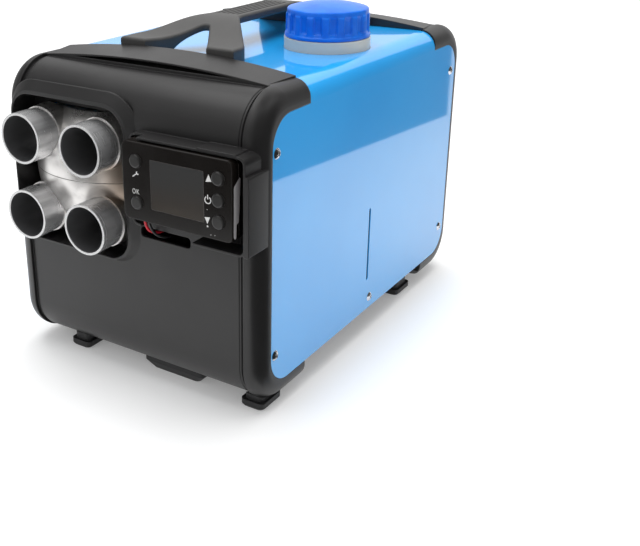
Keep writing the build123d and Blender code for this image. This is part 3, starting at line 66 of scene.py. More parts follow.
# shader maths as plain sums: a Wire is one socket of a node tree
class Wire:
    def __init__(self, graph, socket):
        self.graph = graph
        self.socket = socket

    def maths(self, operation, first, second=None, clamp=False):
        values = {0: first} if second is None else {0: first, 1: second}
        return self.graph.node("ShaderNodeMath", {"operation": operation, "use_clamp": clamp}, values)

    def __add__(self, other):
        return self.maths("ADD", self, other)

    def __radd__(self, other):
        return self.maths("ADD", other, self)

    def __sub__(self, other):
        return self.maths("SUBTRACT", self, other)

    def __rsub__(self, other):
        return self.maths("SUBTRACT", other, self)

    def __mul__(self, other):
        return self.maths("MULTIPLY", self, other)

    def __rmul__(self, other):
        return self.maths("MULTIPLY", other, self)

    def __abs__(self):
        return self.maths("ABSOLUTE", self)

    def __pow__(self, other):
        return self.maths("POWER", self, other)

    def clamped(self):
        return self.maths("ADD", self, 0.0, clamp=True)

    def other(self, output):  # another output of the same node
        return Wire(self.graph, self.socket.node.outputs[output])

    def between(self, low, high):  # smooth step, 0 at low and 1 at high
        values = {"Value": self, "From Min": low, "From Max": high}
        return self.graph.node("ShaderNodeMapRange", {"interpolation_type": "SMOOTHSTEP"}, values)


class Graph:
    def __init__(self, tree):
        self.tree = tree
        tree.nodes.clear()

    def plug(self, socket, value):
        if isinstance(value, Wire):
            self.tree.links.new(value.socket, socket)
        elif isinstance(value, tuple) and len(value) == 3 and len(socket.default_value) == 4:
            socket.default_value = (*value, 1.0)
        else:
            socket.default_value = value

    def node(self, kind, settings=None, values=None, out=0):
        new = self.tree.nodes.new(kind)
        for key, value in (settings or {}).items():
            setattr(new, key, value)
        for key, value in (values or {}).items():
            self.plug(new.inputs[key], value)
        return Wire(self, new.outputs[out]) if len(new.outputs) else None


class Finish(Graph):
    def __init__(self, name, **constants):
        self.material = bpy.data.materials.new(name)
        self.material.use_nodes = True
        super().__init__(self.material.node_tree)
        self.body = self.node("ShaderNodeBsdfPrincipled")
        self.node("ShaderNodeOutputMaterial", values={"Surface": self.body})
        self.paint(**constants)

    def paint(self, **values):
        for key, value in values.items():
            self.plug(self.body.socket.node.inputs[key.replace("_", " ")], value)
        return self

    def place(self):  # the piece's own coordinates, in metres
        return self.node("ShaderNodeTexCoord", out="Object")

    def axis(self, name):
        return self.node("ShaderNodeSeparateXYZ", values={0: self.place()}, out=name)

    def stretched(self, x, y, z):  # coordinates pulled out along an axis, for grain and brushing
        values = {0: self.place(), 1: (x, y, z)}
        return self.node("ShaderNodeVectorMath", {"operation": "MULTIPLY"}, values)

    def noise(self, scale, detail=3.0, rough=0.5, where=None):
        values = {"Vector": where or self.place(), "Scale": scale, "Detail": detail, "Roughness": rough}
        return self.node("ShaderNodeTexNoise", values=values)

    def cells(self, scale):
        return self.node("ShaderNodeTexVoronoi", values={"Vector": self.place(), "Scale": scale})

    def mix(self, first, second, factor):
        values = {0: factor, 6: first, 7: second}
        return self.node("ShaderNodeMix", {"data_type": "RGBA"}, values, out=2)

    def rounded(self, radius, samples=6):
        return self.node("ShaderNodeBevel", {"samples": samples}, {"Radius": radius})

    def edges(self, radius, samples=6):  # 1 along edges, 0 on open faces
        soft = self.rounded(radius, samples)
        true = self.node("ShaderNodeNewGeometry", out="Normal")
        values = {0: soft, 1: true}
        match = self.node("ShaderNodeVectorMath", {"operation": "DOT_PRODUCT"}, values, out="Value")
        return (1 - match).between(0.01, 0.25)

    def bump(self, height, distance, strength=1.0, normal=None):
        values = {"Height": height, "Distance": distance, "Strength": strength}
        if normal is not None:
            values["Normal"] = normal
        return self.node("ShaderNodeBump", values=values)


def lifted(colour, factor, add=0.0):
    return tuple(min(1.0, c * factor + add) for c in colour)


def dress(finish, *names):  # the node keeps its shape and gets a better finish
    for name in names:
        mesh = nodes[name].data
        mesh.materials.clear()
        mesh.materials.append(finish.material)


# what all the plain finishes share
plainLook = {
    "cloud": 30.0,         # size of the soft blotches, in cells per metre
    "cloudWear": 0.35,
    "edgeLighten": 0.4,
    "cloudGloss": 0.14,    # how far blotches and grain change the roughness
    "grainGloss": 0.08,
}


def plainFinish(name, colour, roughness, grain=900.0, depth=0.00004, edge=0.0005, lift=1.6, **constants):
    look = plainLook
    plain = Finish(name, **constants)
    fine = plain.noise(grain, 3.0, 0.6)
    cloud = plain.noise(look["cloud"], 4.0, 0.6)
    rim = plain.edges(edge, 4)
    paler = (cloud.between(0.4, 0.8) * look["cloudWear"] + rim * look["edgeLighten"]).clamped()
    return plain.paint(
        Base_Color=plain.mix(colour, lifted(colour, lift, 0.01), paler),
        Roughness=roughness + (cloud - 0.5) * look["cloudGloss"] + (fine - 0.5) * look["grainGloss"],
        Normal=plain.bump(fine, depth, 0.5, plain.rounded(edge, 4)),
    )


metalGrain = {"grain": 500.0, "depth": 0.00003, "edge": 0.0004, "lift": 1.15}


def plainMetal(name, colour, roughness):
    return plainFinish(name, colour, roughness, **metalGrain, Metallic=1.0)


def meshPiece(name, points, faces, finish, body, smooth=True):
    mesh = bpy.data.meshes.new(name)
    mesh.from_pydata(points, [], faces)
    shape = bmesh.new()
    shape.from_mesh(mesh)
    bmesh.ops.recalc_face_normals(shape, faces=shape.faces)
    for face in shape.faces:
        face.smooth = smooth
    shape.to_mesh(mesh)
    shape.free()
    mesh.materials.append(finish.material)
    piece = bpy.data.objects.new(name, mesh)
    bpy.context.scene.collection.objects.link(piece)
    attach(piece, body)
    return piece


# rings of points one above the other, closed by a fan at each end that is a single point
def stack(rings):
    points = []
    starts = []
    for ring in rings:
        starts.append((len(points), len(ring)))
        points.extend(ring)
    faces = []
    for (low, lowCount), (high, highCount) in zip(starts, starts[1:]):
        count = max(lowCount, highCount)
        for i in range(count):
            j = (i + 1) % count
            if lowCount == 1:
                faces.append((low, high + j, high + i))
            elif highCount == 1:
                faces.append((low + i, low + j, high))
            else:
                faces.append((low + i, low + j, high + j, high + i))
    return points, faces


# the two leads of the control unit: routes in mm, through the cable hole
leads = {
    "redLead": {
        "node": "red_lead",
        "slot": "red_insulation",
        "colour": (0.56, 0.012, 0.030),
        "length": 0.1105,
        "route": [
            (26.0, -181.05, 155.9), (26.0, -181.05, 143.9), (29.0, -172.05, 136.9),
            (29.0, -151.5, 134.9), (-2.9, -137.5, 131.9), (-2.9, -97.0, 131.9),
        ],
    },
    "blackLead": {
        "node": "black_lead",
        "slot": "black_insulation",
        "colour": (0.016, 0.016, 0.017),
        "length": 0.1150,
        "route": [
            (30.0, -181.05, 155.9), (30.0, -181.05, 143.9), (36.0, -172.05, 133.9),
            (36.0, -151.5, 131.9), (-2.9, -137.5, 128.9), (-2.9, -97.0, 128.9),
        ],
    },
}
leadRadius = 1.1 * mm
leadSkin = {"roughness": 0.33, "grain": 1600.0, "depth": 0.00001, "edge": 0.0002, "lift": 1.3}


def makeLead(name, lead):
    curve = bpy.data.curves.new(name, "CURVE")
    curve.dimensions = "3D"
    curve.bevel_depth = leadRadius
    curve.bevel_resolution = 5
    curve.use_fill_caps = True
    line = curve.splines.new("NURBS")
    line.points.add(len(lead["route"]) - 1)
    for point, at in zip(line.points, lead["route"]):
        point.co = (*(c * mm for c in at), 1.0)
    line.order_u = 3
    line.use_endpoint_u = True
    line.resolution_u = 14
    skin = plainFinish(name + " skin", lead["colour"], **leadSkin)
    curve.materials.append(skin.material)
    piece = bpy.data.objects.new(name, curve)
    bpy.context.scene.collection.objects.link(piece)
    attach(piece, "heater")
    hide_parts(lead["node"])
    [c * mm for c in lead["route"][0]]


for name, lead in leads.items():
    makeLead(name, lead)
print("leads done")


# mouldings: covers, handle, grille
moulding = {
    "colour": (0.0145, 0.0140, 0.0142),
    "paler": (0.070, 0.069, 0.070),
    "roughness": 0.38,
    "edge": 0.0011,
    "grain": 1500.0,       # sizes of the textures, in cells per metre
    "pits": 1350.0,
    "cloud": 14.0,
    "flow": 60.0,          # faint flow lines of the mould
    "dust": 420.0,
    "grainDepth": 0.00005,
    "edgeLighten": 0.35,
    "dustShow": 0.10,
}
handleLook = {
    **moulding,
    "colour": (0.050, 0.049, 0.048),
    "roughness": 0.5,
    "grain": 1100.0,
    "pits": 990.0,
    "grainDepth": 0.00007,
}


def blackMoulding(name, look):
    black = Finish(name, IOR=1.5)
    grain = black.noise(look["grain"], 2.0, 0.6)
    pits = black.cells(look["pits"])
    cloud = black.noise(look["cloud"], 4.0, 0.6)
    flow = black.noise(look["flow"], 3.0, 0.5, black.stretched(1.0, 0.3, 0.12))
    dust = black.noise(look["dust"], 5.0, 0.7).between(0.62, 0.8)
    rim = black.edges(look["edge"])
    paler = (rim * look["edgeLighten"] + dust * look["dustShow"]).clamped()
    shade = black.mix(look["colour"], look["paler"], paler)
    gloss = (cloud - 0.5) * 0.12 + (grain - 0.5) * 0.10 + (flow - 0.5) * 0.06
    relief = grain * 0.6 + pits * 0.4
    return black.paint(
        Base_Color=black.mix(shade, lifted(look["colour"], 1.3), cloud.between(0.45, 0.75)),
        Roughness=gloss + look["roughness"],
        Normal=black.bump(relief, look["grainDepth"], 0.5, black.rounded(look["edge"])),
    )


dress(blackMoulding("moulded black", moulding), "front_cover", "rear_cover", "inlet_grille")
dress(blackMoulding("handle black", handleLook), "carry_handle")
print("mouldings done")

# powder-coated sheet
sheetBlue = {
    "colour": (0.014, 0.375, 0.870),
    "deep": (0.010, 0.340, 0.820),
    # the pale colour along the coat's edges is a painted highlight
    "edgeHighlight": (0.35, 0.62, 0.85),
    "edgeLighten": 0.45,
    "roughness": 0.36,
    "peel": 260.0,         # orange peel of the coat
    "peelDepth": 0.00002,
    "cloud": 6.0,
    "speck": 2600.0,
    "edge": 0.0006,
    "specular": 0.2,       # of the colour under the clear coat
    "coat": 1.85,
    "coatRoughness": 0.04,
}


def blueSheet(look):
    blue = Finish(
        "powder blue", IOR=1.5, Specular_IOR_Level=look["specular"],
        Coat_Weight=1.0, Coat_IOR=look["coat"], Coat_Roughness=look["coatRoughness"],
    )
    peel = blue.noise(look["peel"], 2.0, 0.5)
    cloud = blue.noise(look["cloud"], 3.0, 0.5)
    speck = blue.noise(look["speck"], 2.0, 0.7)
    # the edges of the sheet are painted pale: a painted highlight
    rim = blue.edges(look["edge"])
    tone = blue.mix(look["colour"], look["deep"], cloud.between(0.35, 0.7))
    return blue.paint(
        Base_Color=blue.mix(tone, look["edgeHighlight"], rim * look["edgeLighten"]),
        Roughness=look["roughness"] + (speck - 0.5) * 0.10 + (cloud - 0.5) * 0.06,
        Normal=blue.bump(peel, look["peelDepth"], 0.35, blue.rounded(look["edge"])),
    )


dress(blueSheet(sheetBlue), "housing_shell")
print("sheet done")

# cast manifold and its four pipes
outlet = {
    "middle": (-60.3 * mm, 165.6 * mm),  # x and z
    "spacing": (63.5 * mm, 64.9 * mm),
    "bore": 19.4 * mm,
    "pipeEnd": -190.4 * mm,
    "castMetal": 0.85,
    "cast": (0.84, 0.82, 0.80),
    "castDark": (0.44, 0.425, 0.41),
    "castRoughness": 0.30,
    "castEdge": 0.0007,
    "seam": (0.05, 0.045, 0.04),         # where the halves meet
    "seamHalf": (0.00012, 0.00042),      # full dark up to the first, gone at the second
    "warm": (0.40, 0.29, 0.20),          # tint of the casting towards the control unit
    "warmX": (0.014, 0.046),             # from the middle, where it starts and is full
    "warmZ": (0.012, 0.026),             # full up to the first, gone at the second
    "pipeMetal": 0.72,
    "turned": (0.80, 0.80, 0.805),
    "turnedDark": (0.38, 0.38, 0.385),
    "turnedRoughness": 0.24,
    "turnedEdge": 0.0006,
    # rim: paler colour painted along the casting's edges as a highlight, and the colour of the pipes' end
    # faces
    "rim": (0.60, 0.60, 0.60),
    # the inside of the pipes is painted dark: painted shade in the bore
    "boreShade": (0.22, 0.22, 0.23),
}


def castManifold(look):
    cast = Finish("cast aluminium", Metallic=look["castMetal"])
    middleX, middleZ = look["middle"]
    fromX = cast.axis("X") - middleX
    fromZ = abs(cast.axis("Z") - middleZ)
    streak = cast.noise(90.0, 4.0, 0.6, cast.stretched(1.0, 0.12, 1.0))
    pit = cast.noise(900.0, 4.0, 0.65)
    cloud = cast.noise(26.0, 4.0, 0.6)
    rim = cast.edges(look["castEdge"])
    seam = 1 - fromZ.between(*look["seamHalf"])
    dull = (streak.between(0.45, 0.85) * 0.5 + cloud.between(0.5, 0.8) * 0.35).clamped()
    besideUnit = fromX.between(*look["warmX"]) * (1 - fromZ.between(*look["warmZ"]))
    body = cast.mix(look["cast"], look["castDark"], dull)
    # the casting is given a warmer colour beside the control unit
    tinted = cast.mix(body, look["warm"], besideUnit * 0.8)
    # the casting's edges are painted paler: a painted highlight
    withEdgeHighlight = cast.mix(tinted, look["rim"], rim * 0.15)
    relief = pit * 0.5 + streak * 0.5 - seam * 1.5
    return cast.paint(
        Base_Color=cast.mix(withEdgeHighlight, look["seam"], seam * 0.85),
        Roughness=look["castRoughness"] + (cloud - 0.5) * 0.22 + (pit - 0.5) * 0.10,
        Normal=cast.bump(relief, 0.0001, 0.4, cast.rounded(look["castEdge"])),
    )


def turnedPipe(look):
    turned = Finish("turned aluminium", Metallic=look["pipeMetal"])
    acrossX = abs(turned.axis("X") - look["middle"][0]) - look["spacing"][0] / 2
    acrossZ = abs(turned.axis("Z") - look["middle"][1]) - look["spacing"][1] / 2
    radius = (acrossX * acrossX + acrossZ * acrossZ) ** 0.5
    inside = 1 - radius.between(look["bore"] - 0.3 * mm, look["bore"])
    behindEnd = turned.axis("Y").between(look["pipeEnd"] + 0.02 * mm, look["pipeEnd"] + 0.9 * mm)
    rings = turned.noise(700.0, 3.0, 0.6, turned.stretched(0.02, 1.0, 0.02))  # turning marks
    draw = turned.noise(130.0, 3.0, 0.6, turned.stretched(1.0, 0.04, 1.0))  # long scratches
    cloud = turned.noise(34.0, 4.0, 0.6)
    dull = (draw.between(0.4, 0.8) * 0.6 + cloud.between(0.5, 0.8) * 0.4).clamped()
    body = turned.mix(look["turned"], look["turnedDark"], dull)
    # the bore behind the pipe's end gets the dark colour, a painted shade
    boreShaded = turned.mix(body, look["boreShade"], inside * behindEnd)
    gloss = inside * 0.10 + (cloud - 0.5) * 0.16 + (rings - 0.5) * 0.14
    return turned.paint(
        Base_Color=turned.mix(look["rim"], boreShaded, behindEnd),
        Roughness=gloss + look["turnedRoughness"],
        Normal=turned.bump(rings * 0.6 + draw * 0.4, 0.00006, 0.4, turned.rounded(look["turnedEdge"])),
    )


dress(castManifold(outlet), "manifold_upper", "manifold_lower")
dress(turnedPipe(outlet), "upper_left_pipe", "upper_right_pipe", "lower_left_pipe", "lower_right_pipe")
print("outlet done")

# control unit
unit = {
    "face": -191.0,
    "side": 113.7,
    "shell": (0.0085, 0.0070, 0.0062),
    # the pale colour along the shell's edges is a painted highlight
    "shellEdgeHighlight": (0.26, 0.245, 0.235),
    "shellSpecular": 0.25,
    "glass": (0.044, 0.044, 0.044),
    "glassLow": (0.046, 0.038, 0.031),
    "glassSpecular": 0.35,
    "glassFade": (0.166, 0.196),  # heights between which the lower tint fades out
    "plate": (0.50, 0.48, 0.49),
    "plateMetal": 0.15,
    "plateSunk": 0.05,
    "plateThick": 0.25,
    # outline of the pale strip on the unit's side, a painted highlight where the side catches light, y and
    # z
    "plateEdge": [
        (-181.2, 200.6), (-182.3, 201.2), (-188.6, 196.4), (-189.3, 195.0), (-189.9, 158.6),
        (-188.4, 156.9), (-187.0, 157.6), (-186.6, 167.6), (-183.9, 168.2), (-183.5, 169.4),
    ],
}


def unitGlass(look):
    glass = Finish(
        "unit window", IOR=1.5, Specular_IOR_Level=look["glassSpecular"],
        Coat_Weight=0.15, Coat_Roughness=0.03,
    )
    low = 1 - glass.axis("Z").between(*look["glassFade"])
    haze = glass.noise(55.0, 4.0, 0.6)
    scuff = glass.noise(240.0, 3.0, 0.7, glass.stretched(1.0, 1.0, 0.25))
    tint = (low * 0.8 + (haze - 0.5) * 0.6).clamped()
    return glass.paint(
        Base_Color=glass.mix(look["glass"], look["glassLow"], tint),
        Roughness=0.14 + (haze - 0.5) * 0.12 + scuff.between(0.6, 0.85) * 0.12,
        Normal=glass.bump(scuff, 0.00001, 0.2),
    )


def glossyShell(look):
    shell = Finish("unit shell", IOR=1.5, Specular_IOR_Level=look["shellSpecular"])
    fine = shell.noise(2200.0, 2.0, 0.6)
    smear = shell.noise(38.0, 4.0, 0.65)
    dust = shell.noise(900.0, 3.0, 0.8).between(0.70, 0.84)
    # the shell's edges are painted pale as a highlight, with a little dust mixed in
    rim = shell.edges(0.0006)
    paler = (rim * 0.8 + dust * 0.05).clamped()
    return shell.paint(
        Base_Color=shell.mix(look["shell"], look["shellEdgeHighlight"], paler),
        Roughness=0.20 + (smear - 0.5) * 0.18 + dust * 0.2,
        Normal=shell.bump(fine, 0.00001, 0.3, shell.rounded(0.0006)),
    )


def prism(name, back, front, finish):  # the solid between two copies of an outline, in mm
    points = [tuple(c * mm for c in point) for point in back + front]
    count = len(back)
    sides = [(i, (i + 1) % count, count + (i + 1) % count, count + i) for i in range(count)]
    faces = [tuple(range(count)), tuple(range(count, 2 * count)), *sides]
    return meshPiece(name, points, faces, finish, "heater", smooth=False)


def arcBand(middle, inner, outer, start, end, steps=40):  # open ring, angles in degrees
    turns = [math.radians(start + (end - start) * i / steps) for i in range(steps + 1)]
    outside = [(middle[0] + outer * math.cos(a), middle[1] + outer * math.sin(a)) for a in turns]
    inside = [(middle[0] + inner * math.cos(a), middle[1] + inner * math.sin(a)) for a in reversed(turns)]
    return outside + inside


def turnedAbout(points, middle, degrees):
    c, s = math.cos(math.radians(degrees)), math.sin(math.radians(degrees))
    return [(middle[0] + x * c - z * s, middle[1] + x * s + z * c) for x, z in points]


spanner = [  # handle, then the jaw round its mouth
    (-3.4, -0.42), (0.9, -0.42), (1.3, -1.25), (2.2, -1.45), (2.9, -1.05), (2.0, -0.5),
    (1.9, 0.35), (2.8, 1.05), (2.1, 1.4), (1.2, 1.2), (0.8, 0.42), (-3.4, 0.42), (-3.75, 0.0),
]

# printed marks beside the buttons, x and z
marks = {
    "ink": (0.74, 0.74, 0.73),
    "high": 0.06,
    "sunk": 0.02,
    "shapes": {
        "settingsMark": turnedAbout(spanner, (27.7, 190.2), 36.0),
        "upMark": [(91.0, 196.3), (96.1, 197.2), (93.6, 202.2)],
        "downMark": [(89.6, 169.7), (92.0, 164.9), (94.4, 170.3)],
        "downDot": arcBand((92.1, 163.1), 0.01, 0.75, 0, 350, 18),
        "powerRing": arcBand((92.7, 183.0), 2.15, 2.95, 122, 418),
        "powerBar": [(92.25, 183.6), (93.1, 183.6), (93.1, 187.0), (92.25, 187.0)],
        "markA": arcBand((92.0, 175.8), 0.01, 0.34, 0, 340, 10),
        "markB": arcBand((94.9, 157.1), 0.01, 0.34, 0, 340, 10),
        "markC": arcBand((98.4, 157.4), 0.01, 0.34, 0, 340, 10),
    },
    "letters": "OK",
    "lettersAt": (27.1, 174.9),
    "lettersSize": 5.6,
    "lettersHigh": 0.04,
    "lettersNarrow": 0.74,
    "lettersSpace": 1.25,
}


def makeLetters(settings, ink):
    letters = bpy.data.curves.new("okMark", "FONT")
    letters.body = settings["letters"]
    letters.size = settings["lettersSize"] * mm
    letters.extrude = settings["lettersHigh"] * mm
    letters.align_x = "CENTER"
    letters.space_character = settings["lettersSpace"]
    text = bpy.data.objects.new("okText", letters)
    bpy.context.scene.collection.objects.link(text)
    x, z = settings["lettersAt"]
    text.location = (x * mm, (unit["face"] - settings["sunk"]) * mm, z * mm)
    text.rotation_euler = (math.radians(90), 0, 0)
    text.scale.x = settings["lettersNarrow"]
    bpy.context.view_layer.update()
    mesh = bpy.data.meshes.new_from_object(text)
    mesh.transform(text.matrix_world)
    bpy.data.objects.remove(text)
    mesh.materials.clear()
    mesh.materials.append(ink.material)
    piece = bpy.data.objects.new("okMark", mesh)
    bpy.context.scene.collection.objects.link(piece)
    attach(piece, "heater")


def makeMarks(settings):
    ink = plainFinish("white print", settings["ink"], 0.5, 3000.0, 0.000005, 0.0002, 1.05)
    low = unit["face"] + settings["sunk"]
    top = unit["face"] - settings["high"]
    for name, outline in settings["shapes"].items():
        back = [(x, low, z) for x, z in outline]
        front = [(x, top, z) for x, z in outline]
        prism(name, back, front, ink)
    makeLetters(settings, ink)


# a pale strip set proud of the unit's black side: a painted highlight, not a part of the unit
def makeSideHighlight(look):
    surfaceFinish = Finish("side plate", Metallic=look["plateMetal"])
    brush = surfaceFinish.noise(420.0, 3.0, 0.6, surfaceFinish.stretched(1.0, 1.0, 0.05))
    cloud = surfaceFinish.noise(40.0, 3.0, 0.6)
    surfaceFinish.paint(
        Base_Color=surfaceFinish.mix(look["plate"], lifted(look["plate"], 0.78), brush * 0.6 + cloud * 0.3),
        Roughness=0.42 + (brush - 0.5) * 0.2,
        Normal=surfaceFinish.bump(brush, 0.00003, 0.3, surfaceFinish.rounded(0.0003)),
    )
    inner = [(look["side"] - look["plateSunk"], y, z) for y, z in look["plateEdge"]]
    outer = [(look["side"] + look["plateThick"], y, z) for y, z in look["plateEdge"]]
    prism("unitSideHighlight", inner, outer, surfaceFinish)


dress(glossyShell(unit), "controller_front_shell", "controller_rear_shell")
dress(unitGlass(unit), "controller_window")
dress(plainFinish("display", (0.10, 0.12, 0.12), 0.25), "display_module")
buttonSkin = plainFinish("button rubber", (0.017, 0.0165, 0.016), 0.33, 1800.0, 0.00002, 0.0006, 2.0)
dress(buttonSkin, *[n for n in nodes if n.endswith("_button")])
dress(plainFinish("board green", (0.02, 0.16, 0.06), 0.35), "controller_board", "control_circuit")
makeMarks(marks)
makeSideHighlight(unit)
print("unit done")

# screw cap of the tank: ribs stand proud between a plain band and a flared skirt
cap = {
    "middle": (72.0, 15.0),
    "ribs": 17,
    "firstRib": -64.3,     # degrees
    "ribHalf": 2.7,
    "ribSlope": 1.1,
    "ribRadius": 35.3,
    "steps": 24,           # points for each rib and the recess beside it
    "crownRings": 12,
    # height, radius on a rib, radius between ribs
    "wall": [
        (264.80, 35.70, 35.70), (265.05, 36.05, 36.05), (265.50, 36.20, 36.20), (266.90, 36.20, 36.20),
        (267.40, 36.05, 36.10), (267.75, 35.70, 35.85), (268.20, 35.45, 35.30), (268.90, 35.35, 34.95),
        (269.60, 35.30, 34.85), (270.10, 35.30, 34.60), (270.45, 35.30, 34.10), (270.80, 35.30, 33.55),
        (271.60, 35.30, 33.35), (274.00, 35.30, 33.35), (277.00, 35.28, 33.35), (280.00, 35.25, 33.38),
        (282.20, 35.22, 33.45), (283.10, 35.15, 33.65), (283.60, 35.00, 33.95), (283.95, 34.75, 34.15),
        (284.30, 34.50, 34.30), (284.90, 34.38, 34.36), (286.60, 34.34, 34.34), (287.50, 34.15, 34.15),
        (288.10, 33.75, 33.75), (288.50, 33.10, 33.10), (288.75, 32.30, 32.30),
    ],
    "top": 293.3,
    "inner": 32.2,
    "ceiling": 286.2,
    "blue": (0.004, 0.165, 0.760),
    "deepBlue": (0.003, 0.120, 0.640),
    "paleBlue": (0.10, 0.36, 0.86),
    "specular": 0.35,
    "roughness": 0.31,
}


def ribShare(angle, settings):  # 1 on a rib, 0 in the recess beside it
    pitch = 360.0 / settings["ribs"]
    away = abs((angle - settings["firstRib"] + pitch / 2) % pitch - pitch / 2)
    arc = math.radians(away) * settings["ribRadius"]
    t = min(1.0, max(0.0, (settings["ribHalf"] + settings["ribSlope"] - arc) / settings["ribSlope"]))
    return t * t * (3 - 2 * t)


def capFinish(look):
    blue = Finish(
        "cap blue", IOR=1.5, Specular_IOR_Level=look["specular"],
        Coat_Weight=0.12, Coat_Roughness=0.12,
    )
    fine = blue.noise(1300.0, 3.0, 0.6)
    cloud = blue.noise(55.0, 4.0, 0.6)
    scuff = blue.noise(260.0, 4.0, 0.7).between(0.62, 0.8)
    rim = blue.edges(0.0008)
    tone = blue.mix(look["blue"], look["deepBlue"], cloud.between(0.35, 0.75))
    paler = (rim * 0.35 + scuff * 0.12).clamped()
    gloss = (cloud - 0.5) * 0.14 + (fine - 0.5) * 0.08 + scuff * 0.08
    return blue.paint(
        Base_Color=blue.mix(tone, look["paleBlue"], paler),
        Roughness=gloss + look["roughness"],
        Normal=blue.bump(fine, 0.00004, 0.35, blue.rounded(0.0005)),
    )


def makeCap(settings):
    count = settings["ribs"] * settings["steps"]
    angles = [360.0 * i / count for i in range(count)]
    shares = [ribShare(angle, settings) for angle in angles]
    middleX, middleY = settings["middle"]

    def ring(height, onRib, between):
        points = []
        for angle, share in zip(angles, shares):
            radius = between + (onRib - between) * share
            x = middleX + radius * math.cos(math.radians(angle))
            y = middleY + radius * math.sin(math.radians(angle))
            points.append((x * mm, y * mm, height * mm))
        return points

    inner, ceiling = settings["inner"], settings["ceiling"]
    low = settings["wall"][0][0]
    underside = [(middleX * mm, middleY * mm, ceiling * mm)]
    rings = [underside, ring(ceiling, inner, inner), ring(low, inner, inner)]
    rings += [ring(*level) for level in settings["wall"]]
    edge, _, edgeRadius = settings["wall"][-1]
    for i in range(1, settings["crownRings"]):
        share = 1 - i / settings["crownRings"]
        radius = edgeRadius * share
        rings.append(ring(edge + (settings["top"] - edge) * (1 - share * share), radius, radius))
    rings.append([(middleX * mm, middleY * mm, settings["top"] * mm)])
    points, faces = stack(rings)
    piece = meshPiece("screwCap", points, faces, capFinish(settings), "cap")
    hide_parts("tank_cap")
    return piece


makeCap(cap)

# thread on the tank's neck, under the cap
thread = {
    "middle": (72.0, 15.0),
    "radius": 31.5,
    "start": 267.5,
    "pitch": 4.2,
    "turns": 3.0,
    "steps": 90,           # points for each turn
    "fade": 12,            # steps over which an end rises
    "high": 0.45,
    "sunk": 0.3,
    "crest": 0.4,
    "half": 1.1,
}


def makeThread(settings, finish):
    steps, half, crest = settings["steps"], settings["half"], settings["crest"]
    count = int(steps * settings["turns"])
    middleX, middleY = settings["middle"]
    points = []
    for i in range(count + 1):
        a = 2 * math.pi * i / steps
        fade = min(1.0, i / settings["fade"], (count - i) / settings["fade"])
        height = settings["start"] + settings["pitch"] * i / steps
        foot = settings["radius"] - settings["sunk"]
        top = settings["radius"] + settings["high"] * fade
        for rise, radius in ((-half, foot), (-crest, top), (crest, top), (half, foot)):
            x = middleX + radius * math.cos(a)
            y = middleY + radius * math.sin(a)
            points.append((x * mm, y * mm, (height + rise) * mm))
    faces = []
    for i in range(count):
        for k in range(4):
            n = (k + 1) % 4
            faces.append((4 * i + k, 4 * i + n, 4 * i + 4 + n, 4 * i + 4 + k))
    faces += [(3, 2, 1, 0), tuple(4 * count + k for k in range(4))]
    meshPiece("neckThread", points, faces, finish, "heater")


tankLook = {
    "colour": (0.60, 0.605, 0.565),
    "roughness": 0.38,
    "soft": 0.30,
}
tankSkin = plainFinish(
    "tank plastic", tankLook["colour"], tankLook["roughness"], 500.0, 0.00006, 0.0012, 1.15,
    Subsurface_Weight=tankLook["soft"], Subsurface_Radius=(0.012, 0.011, 0.009), Subsurface_Scale=0.5,
)
dress(tankSkin, "fuel_tank")
makeThread(thread, tankSkin)
print("cap and tank done")

# pan-head screws of the side panels, with a cross recess
screws = {
    "panel": 125.0,
    "places": [(-151.5, 212.0), (-151.5, 50.5), (166.5, 212.0), (166.5, 50.5), (10.0, 34.6)],  # y and z
    "radius": 4.2,
    "high": 2.0,
    "recess": 1.15,
    "arm": 2.1,
    "armHalf": 0.52,
    "endSlope": 0.35,      # how far the recess's walls lean in
    "sideSlope": 0.22,
    "rings": 26,
    "turns": 72,
    "colour": (0.66, 0.67, 0.69),
    "roughness": 0.20,
}


def recessShare(along, across, settings):  # one arm of the cross, 1 on its floor
    end = min(1.0, (settings["arm"] - abs(along)) / settings["endSlope"])
    side = min(1.0, (settings["armHalf"] - abs(across)) / settings["sideSlope"])
    return max(0.0, end) * max(0.0, side)


def screwHead(side, y, z, spin, settings):  # rings from the middle of the head to its rim
    radius, high = settings["radius"], settings["high"]
    dome = (radius * radius + high * high) / (2 * high)
    c, s = math.cos(spin), math.sin(spin)
    levels = []
    for k in range(settings["rings"] + 1):
        r = radius * k / settings["rings"]
        level = []
        for i in range(settings["turns"] if k else 1):
            a = 2 * math.pi * i / settings["turns"]
            u, v = r * math.cos(a), r * math.sin(a)
            depth = max(recessShare(u, v, settings), recessShare(v, u, settings))
            rise = math.sqrt(dome * dome - r * r) - dome + high - settings["recess"] * depth
            x = (settings["panel"] + rise) * side
            level.append((x * mm, (y + u * c - v * s) * mm, (z + u * s + v * c) * mm))
        levels.append(level)
    return stack(levels)


def makeScrews(settings):
    surfaceFinish = plainMetal("screw steel", settings["colour"], settings["roughness"])
    points, faces = [], []
    for side in (-1, 1):
        for y, z in settings["places"]:
            headPoints, headFaces = screwHead(side, y, z, random.uniform(0, math.pi), settings)
            start = len(points)
            points += headPoints
            faces += [tuple(start + i for i in face) for face in headFaces]
    piece = meshPiece("panelScrews", points, faces, surfaceFinish, "heater")
    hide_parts("side_screws")


makeScrews(screws)
print("screws done")

